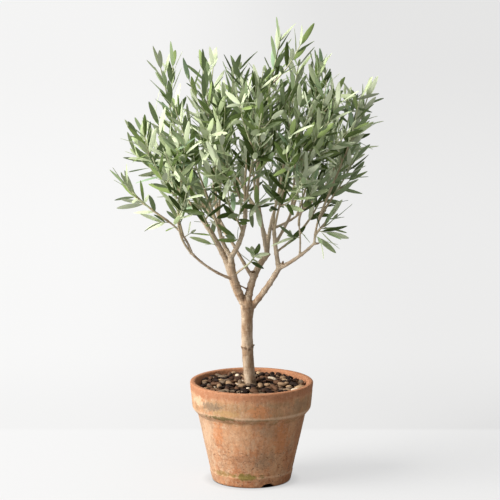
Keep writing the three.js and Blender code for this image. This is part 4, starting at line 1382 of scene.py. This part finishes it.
class OliveStageSettings(bpy.types.PropertyGroup):
    floor_colour: colour_setting("Floor", "Colour of the lit floor", (0.2, 0.2, 0.2))
    glow: FloatProperty(name="Glow", description="Light from the floor itself", default=0.64)
    key: FloatProperty(name="Key", description="Strength of the low light on the left", default=5.0)
    fill: FloatProperty(name="Fill", description="Strength of the light all round", default=1.0)


class OliveSettings(bpy.types.PropertyGroup):
    pot: PointerProperty(type=OlivePotSettings, name="Pot", description="Sizes and colours of the pot")
    pebbles: PointerProperty(type=OlivePebbleSettings, name="Pebbles", description="The top dressing")
    bark: PointerProperty(type=OliveBarkSettings, name="Bark", description="Trunk and boughs")
    foliage: PointerProperty(type=OliveFoliageSettings, name="Foliage", description="Twigs and leaves")
    stage: PointerProperty(type=OliveStageSettings, name="Stage", description="Floor and light")


# ---- Operators -----------------------------------------------------------------------------
def own(piece, slot, *nodes):
    """A piece rides on the one body, and stands for its nodes, which are hidden."""
    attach(piece, "root")
    if nodes:
        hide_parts(*nodes)


class OLIVE_OT_pot(bpy.types.Operator):
    """Throws the clay pot with its collar, lip and drainage notch"""

    bl_idname = "olive.pot"
    bl_label = "Pot"

    def execute(self, context):
        found = context.scene.olive_tree.pot
        shell = Shell()
        line = pot_section()
        add_lathe(shell, line[:, 0], line[:, 1], found.columns, clay_relief(found.wobble / MM))
        pot = shell.make("pot_thrown", [clay_finish(found)])
        cut_notch(pot)
        own(pot, "clay", "pot")
        return {"FINISHED"}


class OLIVE_OT_soil(bpy.types.Operator):
    """Fills the pot with crumbly soil up to the pebbles"""

    bl_idname = "olive.soil"
    bl_label = "Soil"

    def execute(self, context):
        top = SOIL_TOP + SOIL_RISE
        levels = [SOIL_FOOT, 100, top]
        wall = inner_radius(np.array(levels)) - SOIL_CLEAR
        radius = np.concatenate([[0], wall, wall[-1] * np.linspace(1, 0.05, SOIL_RINGS)[1:], [0]])
        height = np.concatenate([[SOIL_FOOT], levels, np.full(SOIL_RINGS, top)])
        shell = Shell()
        add_lathe(shell, radius, height, 120, crumbs)
        own(shell.make("soil_bed", [soil_finish()]), "soil", "soil")
        return {"FINISHED"}


class OLIVE_OT_pebbles(bpy.types.Operator):
    """Lets a dressing of worn pebbles down on the soil"""

    bl_idname = "olive.pebbles"
    bl_label = "Pebbles"

    def execute(self, context):
        found = context.scene.olive_tree.pebbles
        shell = Shell()
        add_pebbles(shell, pebble_beds(found.count, found.length / MM))
        tones = [plain(name, tone, 0.7, 0.2) for name, (tone, _) in PEBBLE_SLOTS.items()]
        own(shell.make("pebble_dressing", tones), "pebbles", "pebbles")
        return {"FINISHED"}


class OLIVE_OT_bark(bpy.types.Operator):
    """Grows the trunk and the boughs into one skin of bark"""

    bl_idname = "olive.bark"
    bl_label = "Trunk and Boughs"

    def execute(self, context):
        found = context.scene.olive_tree.bark
        shell = Shell()
        add_limbs(shell)
        bark = shell.make("bark", [bark_finish(found)])
        skin = bark.modifiers.new("skin", "REMESH")
        skin.mode, skin.voxel_size, skin.use_smooth_shade = "VOXEL", found.voxel, True
        ease = bark.modifiers.new("ease", "SMOOTH")
        ease.factor, ease.iterations = 0.5, 4
        settle(bark)
        relieve_bark(bark.data, found.relief)
        own(bark, "bark", *limbs())
        return {"FINISHED"}


class OLIVE_OT_twigs(bpy.types.Operator):
    """Grows the stems, side shoots and spurs that carry the leaves"""

    bl_idname = "olive.twigs"
    bl_label = "Twigs"

    def execute(self, context):
        found = context.scene.olive_tree.foliage
        shell = Shell()
        for twig in twigs():
            rows = max(4, round(twig.path.length / 9))
            shares = np.linspace(0, 1, rows)
            wood = WOOD_SHARES[twig.order]
            green = (shares[:-1] + WOOD_SCATTER * dice(twig.seed, 41) > wood).astype(int)
            add_bar(shell, twig.path, np.linspace(*twig.radii, rows), 6, shares, green)
        woody = plain("twig_wood", found.wood_colour, 0.8)
        fresh = plain("twig_green", found.green_colour, 0.7)
        own(shell.make("twigs", [woody, fresh]), "bark")
        return {"FINISHED"}


class OLIVE_OT_leaves(bpy.types.Operator):
    """Puts out the leaves, side by side of the crown"""

    bl_idname = "olive.leaves"
    bl_label = "Leaves"

    def execute(self, context):
        found = context.scene.olive_tree.foliage
        grown = leaves(*(v / MM for v in (found.leaf_length, found.leaf_width, found.pair_gap)))
        headings = np.array([row[2] for row in MASSES.values()])
        side = (headings + 45) // 90 % 4
        finishes = leaf_finishes(found)
        for k, name in enumerate(("front", "right", "back", "left")):
            mine = side[grown.mass.astype(int)] == k
            shell = Shell()
            add_leaves(shell, Leaves(*(column[mine] for column in grown)), found.leaf_width / MM)
            piece = shell.make("leaves_" + name, finishes)
            mark_margins(piece.data)
            own(piece, "leaves", *("foliage_" + mass for mass, s in zip(MASSES, side) if s == k))
        return {"FINISHED"}


class OLIVE_OT_stage(bpy.types.Operator):
    """Lays the pale floor and sets the light and the camera"""

    bl_idname = "olive.stage"
    bl_label = "Stage"

    def execute(self, context):
        found = context.scene.olive_tree.stage
        lay_floor(found)
        set_light(found)
        set_camera()
        context.scene.view_settings.view_transform = "Standard"
        return {"FINISHED"}


# ---- Stage ---------------------------------------------------------------------------------
FLOOR_HALF = 40000  # half the floor's width
# Half the width of a dull sheet under the floor, which keeps light off the pot's foot, and its height.
BED_HALF, BED_HEIGHT = 260, -3
ROOM_BASE = 0.21  # share of the fill that comes from everywhere
# More of it: the axis of the direction, where on it the glow starts and is full, and its share.
ROOM_GLOW = (("X", 0.3, -0.9, 0.44), ("Z", 0.1, 1.0, 0.45), ("Z", 0.1, -0.4, 0.28))
FLOOR_FADE = (-0.55, 0.55)  # metres along x over which its own light fades from left to right
# Its tones, left and right: near, just behind the edge, brightest, and far off.
FLOOR_TONES = ((1.01, 0.89), (0.965, 0.8), (1.012, 0.855), (0.955, 0.77))
FLOOR_TURNS = ((0.41, 0.45), (0.5, 1.3), (2.4, 7.5))  # metres along y from one to the next
FLOOR_DARK = (0.078, 0.0845)  # metres from the axis: no light reaches the floor under the foot
FLOOR_SHADE = (0.086, 0.108)  # metres from it over which the light that is lost close by comes back
SHADE_LOSS, SHADE_REST = 0.15, 0.85
BED_GREY = (0.4, 0.4, 0.4)
KEY_RUN = (1.0, 0.36, -0.6)  # from the left and the front, downwards
KEY_ANGLE = math.radians(42)  # the width of the light in the sky
KEY_COLOUR = (1.0, 0.985, 0.96)
CAMERA_TARGET = (-0.0032, 0, 0.4918)
CAMERA_AWAY, CAMERA_RISE = 6.264, math.radians(10.5)
CAMERA_LENS, CAMERA_SENSOR = 216, 36  # in millimetres, the lens and the sensor's width


def level_sheet(name, half, height, material):
    """A level square of that half width, facing up."""
    shell = Shell()
    corners = np.array([[-1, -1, 0], [1, -1, 0], [1, 1, 0], [-1, 1, 0]])
    shell.add(half * corners + [0, 0, height], [np.array([[0, 1, 2, 3]])])
    made = shell.make(name, [material])
    return made


def floor_finish(found):
    """A floor that glows with painted light. Its painted light fades from left to right and its tone
    turns with y, and it has painted shade under the foot and a painted contact shadow a little darker
    round it, both by smooth steps on the way from the axis."""
    make = Finish("floor", 0.9, 0.1)
    # Painted light, brighter on the left where the key light is.
    fade = make.step(make.axis("x"), *FLOOR_FADE)
    glow, *rest = (make.blend(fade, *(rgba(3 * [v]) for v in pair)) for pair in FLOOR_TONES)
    for turn, next_glow in zip(FLOOR_TURNS, rest):
        glow = make.coat(glow, next_glow, make.step(make.axis("y"), *turn))
    away = make.node("VectorMath", {0: make.place}, operation="LENGTH").outputs["Value"]
    # Painted contact shadow round the foot, and painted shade under it.
    shade = make.times_add(make.step(away, *FLOOR_SHADE), SHADE_LOSS, SHADE_REST)
    lit = make.times(make.step(away, *FLOOR_DARK), shade)
    make.feed(make.shader.inputs["Emission Color"], make.coat((0, 0, 0, 1), glow, lit))
    make.feed(make.shader.inputs["Emission Strength"], found.glow)
    return make.close(make.coat((0.01, 0.01, 0.01, 1), rgba(found.floor_colour), lit))


def lay_floor(found):
    """The floor, which lights nothing but the view, and the dull sheet under it."""
    floor = level_sheet("floor", FLOOR_HALF, 0, floor_finish(found))
    floor.visible_diffuse = floor.visible_glossy = floor.visible_shadow = False
    level_sheet("floor_bed", BED_HALF, BED_HEIGHT, plain("floor_bed", BED_GREY, 0.9, 0.1))


def set_light(found):
    """A pale studio all round: strength fill, with more of it from the left, from above and from
    below, by smooth steps on the direction's x and z. A broad key light adds from left and front."""
    world = bpy.data.worlds.new("studio")
    bpy.context.scene.world = world
    world.use_nodes = True
    nodes, links = world.node_tree.nodes, world.node_tree.links
    back = nodes["Background"]
    back.inputs["Color"].default_value = (1, 1, 1, 1)
    ray = nodes.new("ShaderNodeSeparateXYZ")
    links.new(nodes.new("ShaderNodeTexCoord").outputs["Generated"], ray.inputs[0])
    total = None
    for axis, low, high, share in ROOM_GLOW:
        ramp = nodes.new("ShaderNodeMapRange")
        ramp.interpolation_type = "SMOOTHSTEP"
        links.new(ray.outputs[axis], ramp.inputs["Value"])
        ramp.inputs["From Min"].default_value = low
        ramp.inputs["From Max"].default_value = high
        ramp.inputs["To Max"].default_value = share * found.fill
        add = nodes.new("ShaderNodeMath")
        links.new(ramp.outputs["Result"], add.inputs[0])
        add.inputs[1].default_value = ROOM_BASE * found.fill
        if total is not None:
            links.new(total, add.inputs[1])
        total = add.outputs[0]
    links.new(total, back.inputs["Strength"])
    key = bpy.data.lights.new("key", "SUN")
    key.energy, key.angle, key.color = found.key, KEY_ANGLE, KEY_COLOUR
    lamp = bpy.data.objects.new("key", key)
    lamp.rotation_euler = Vector(KEY_RUN).to_track_quat("-Z", "Y").to_euler()
    bpy.context.scene.collection.objects.link(lamp)


def set_camera():
    """A long lens in front of the plant, a little above it, that looks at its target."""
    camera = bpy.data.objects.new("camera", bpy.data.cameras.new("camera"))
    camera.data.lens, camera.data.sensor_width = CAMERA_LENS, CAMERA_SENSOR
    back = Vector((0, -math.cos(CAMERA_RISE), math.sin(CAMERA_RISE)))
    camera.location = Vector(CAMERA_TARGET) + back * CAMERA_AWAY
    camera.rotation_euler = (-back).to_track_quat("-Z", "Y").to_euler()
    camera.data.clip_end = 200
    bpy.context.scene.collection.objects.link(camera)
    bpy.context.scene.camera = camera


# ---- Add-on --------------------------------------------------------------------------------
GROUPS = (
    OlivePotSettings,
    OlivePebbleSettings,
    OliveBarkSettings,
    OliveFoliageSettings,
    OliveStageSettings,
    OliveSettings,
)
STEPS = (
    OLIVE_OT_pot,
    OLIVE_OT_soil,
    OLIVE_OT_pebbles,
    OLIVE_OT_bark,
    OLIVE_OT_twigs,
    OLIVE_OT_leaves,
    OLIVE_OT_stage,
)


class OLIVE_PT_panel(bpy.types.Panel):
    """Lists the pieces of the plant with their settings"""

    bl_idname = "OLIVE_PT_panel"
    bl_label = "Olive Tree"
    bl_space_type = "VIEW_3D"
    bl_region_type = "UI"
    bl_category = "Olive Tree"

    def draw(self, context):
        found = context.scene.olive_tree
        for part in OliveSettings.__annotations__:
            box = self.layout.box()
            box.label(text=part.title())
            group = getattr(found, part)
            for setting in type(group).__annotations__:
                box.prop(group, setting)
        for step in STEPS:
            self.layout.operator(step.bl_idname)


CLASSES = GROUPS + STEPS + (OLIVE_PT_panel,)


def register():
    """Tells Blender of the classes, and gives the scene its settings."""
    for each in CLASSES:
        bpy.utils.register_class(each)
    bpy.types.Scene.olive_tree = PointerProperty(type=OliveSettings)


def unregister():
    """Takes the settings and the classes away again."""
    del bpy.types.Scene.olive_tree
    for each in reversed(CLASSES):
        bpy.utils.unregister_class(each)


def main():
    """Makes every piece in order."""
    register()
    bpy.ops.olive.pot()
    bpy.ops.olive.soil()
    bpy.ops.olive.pebbles()
    bpy.ops.olive.bark()
    bpy.ops.olive.twigs()
    bpy.ops.olive.leaves()
    bpy.ops.olive.stage()


if __name__ == "__main__":
    main()
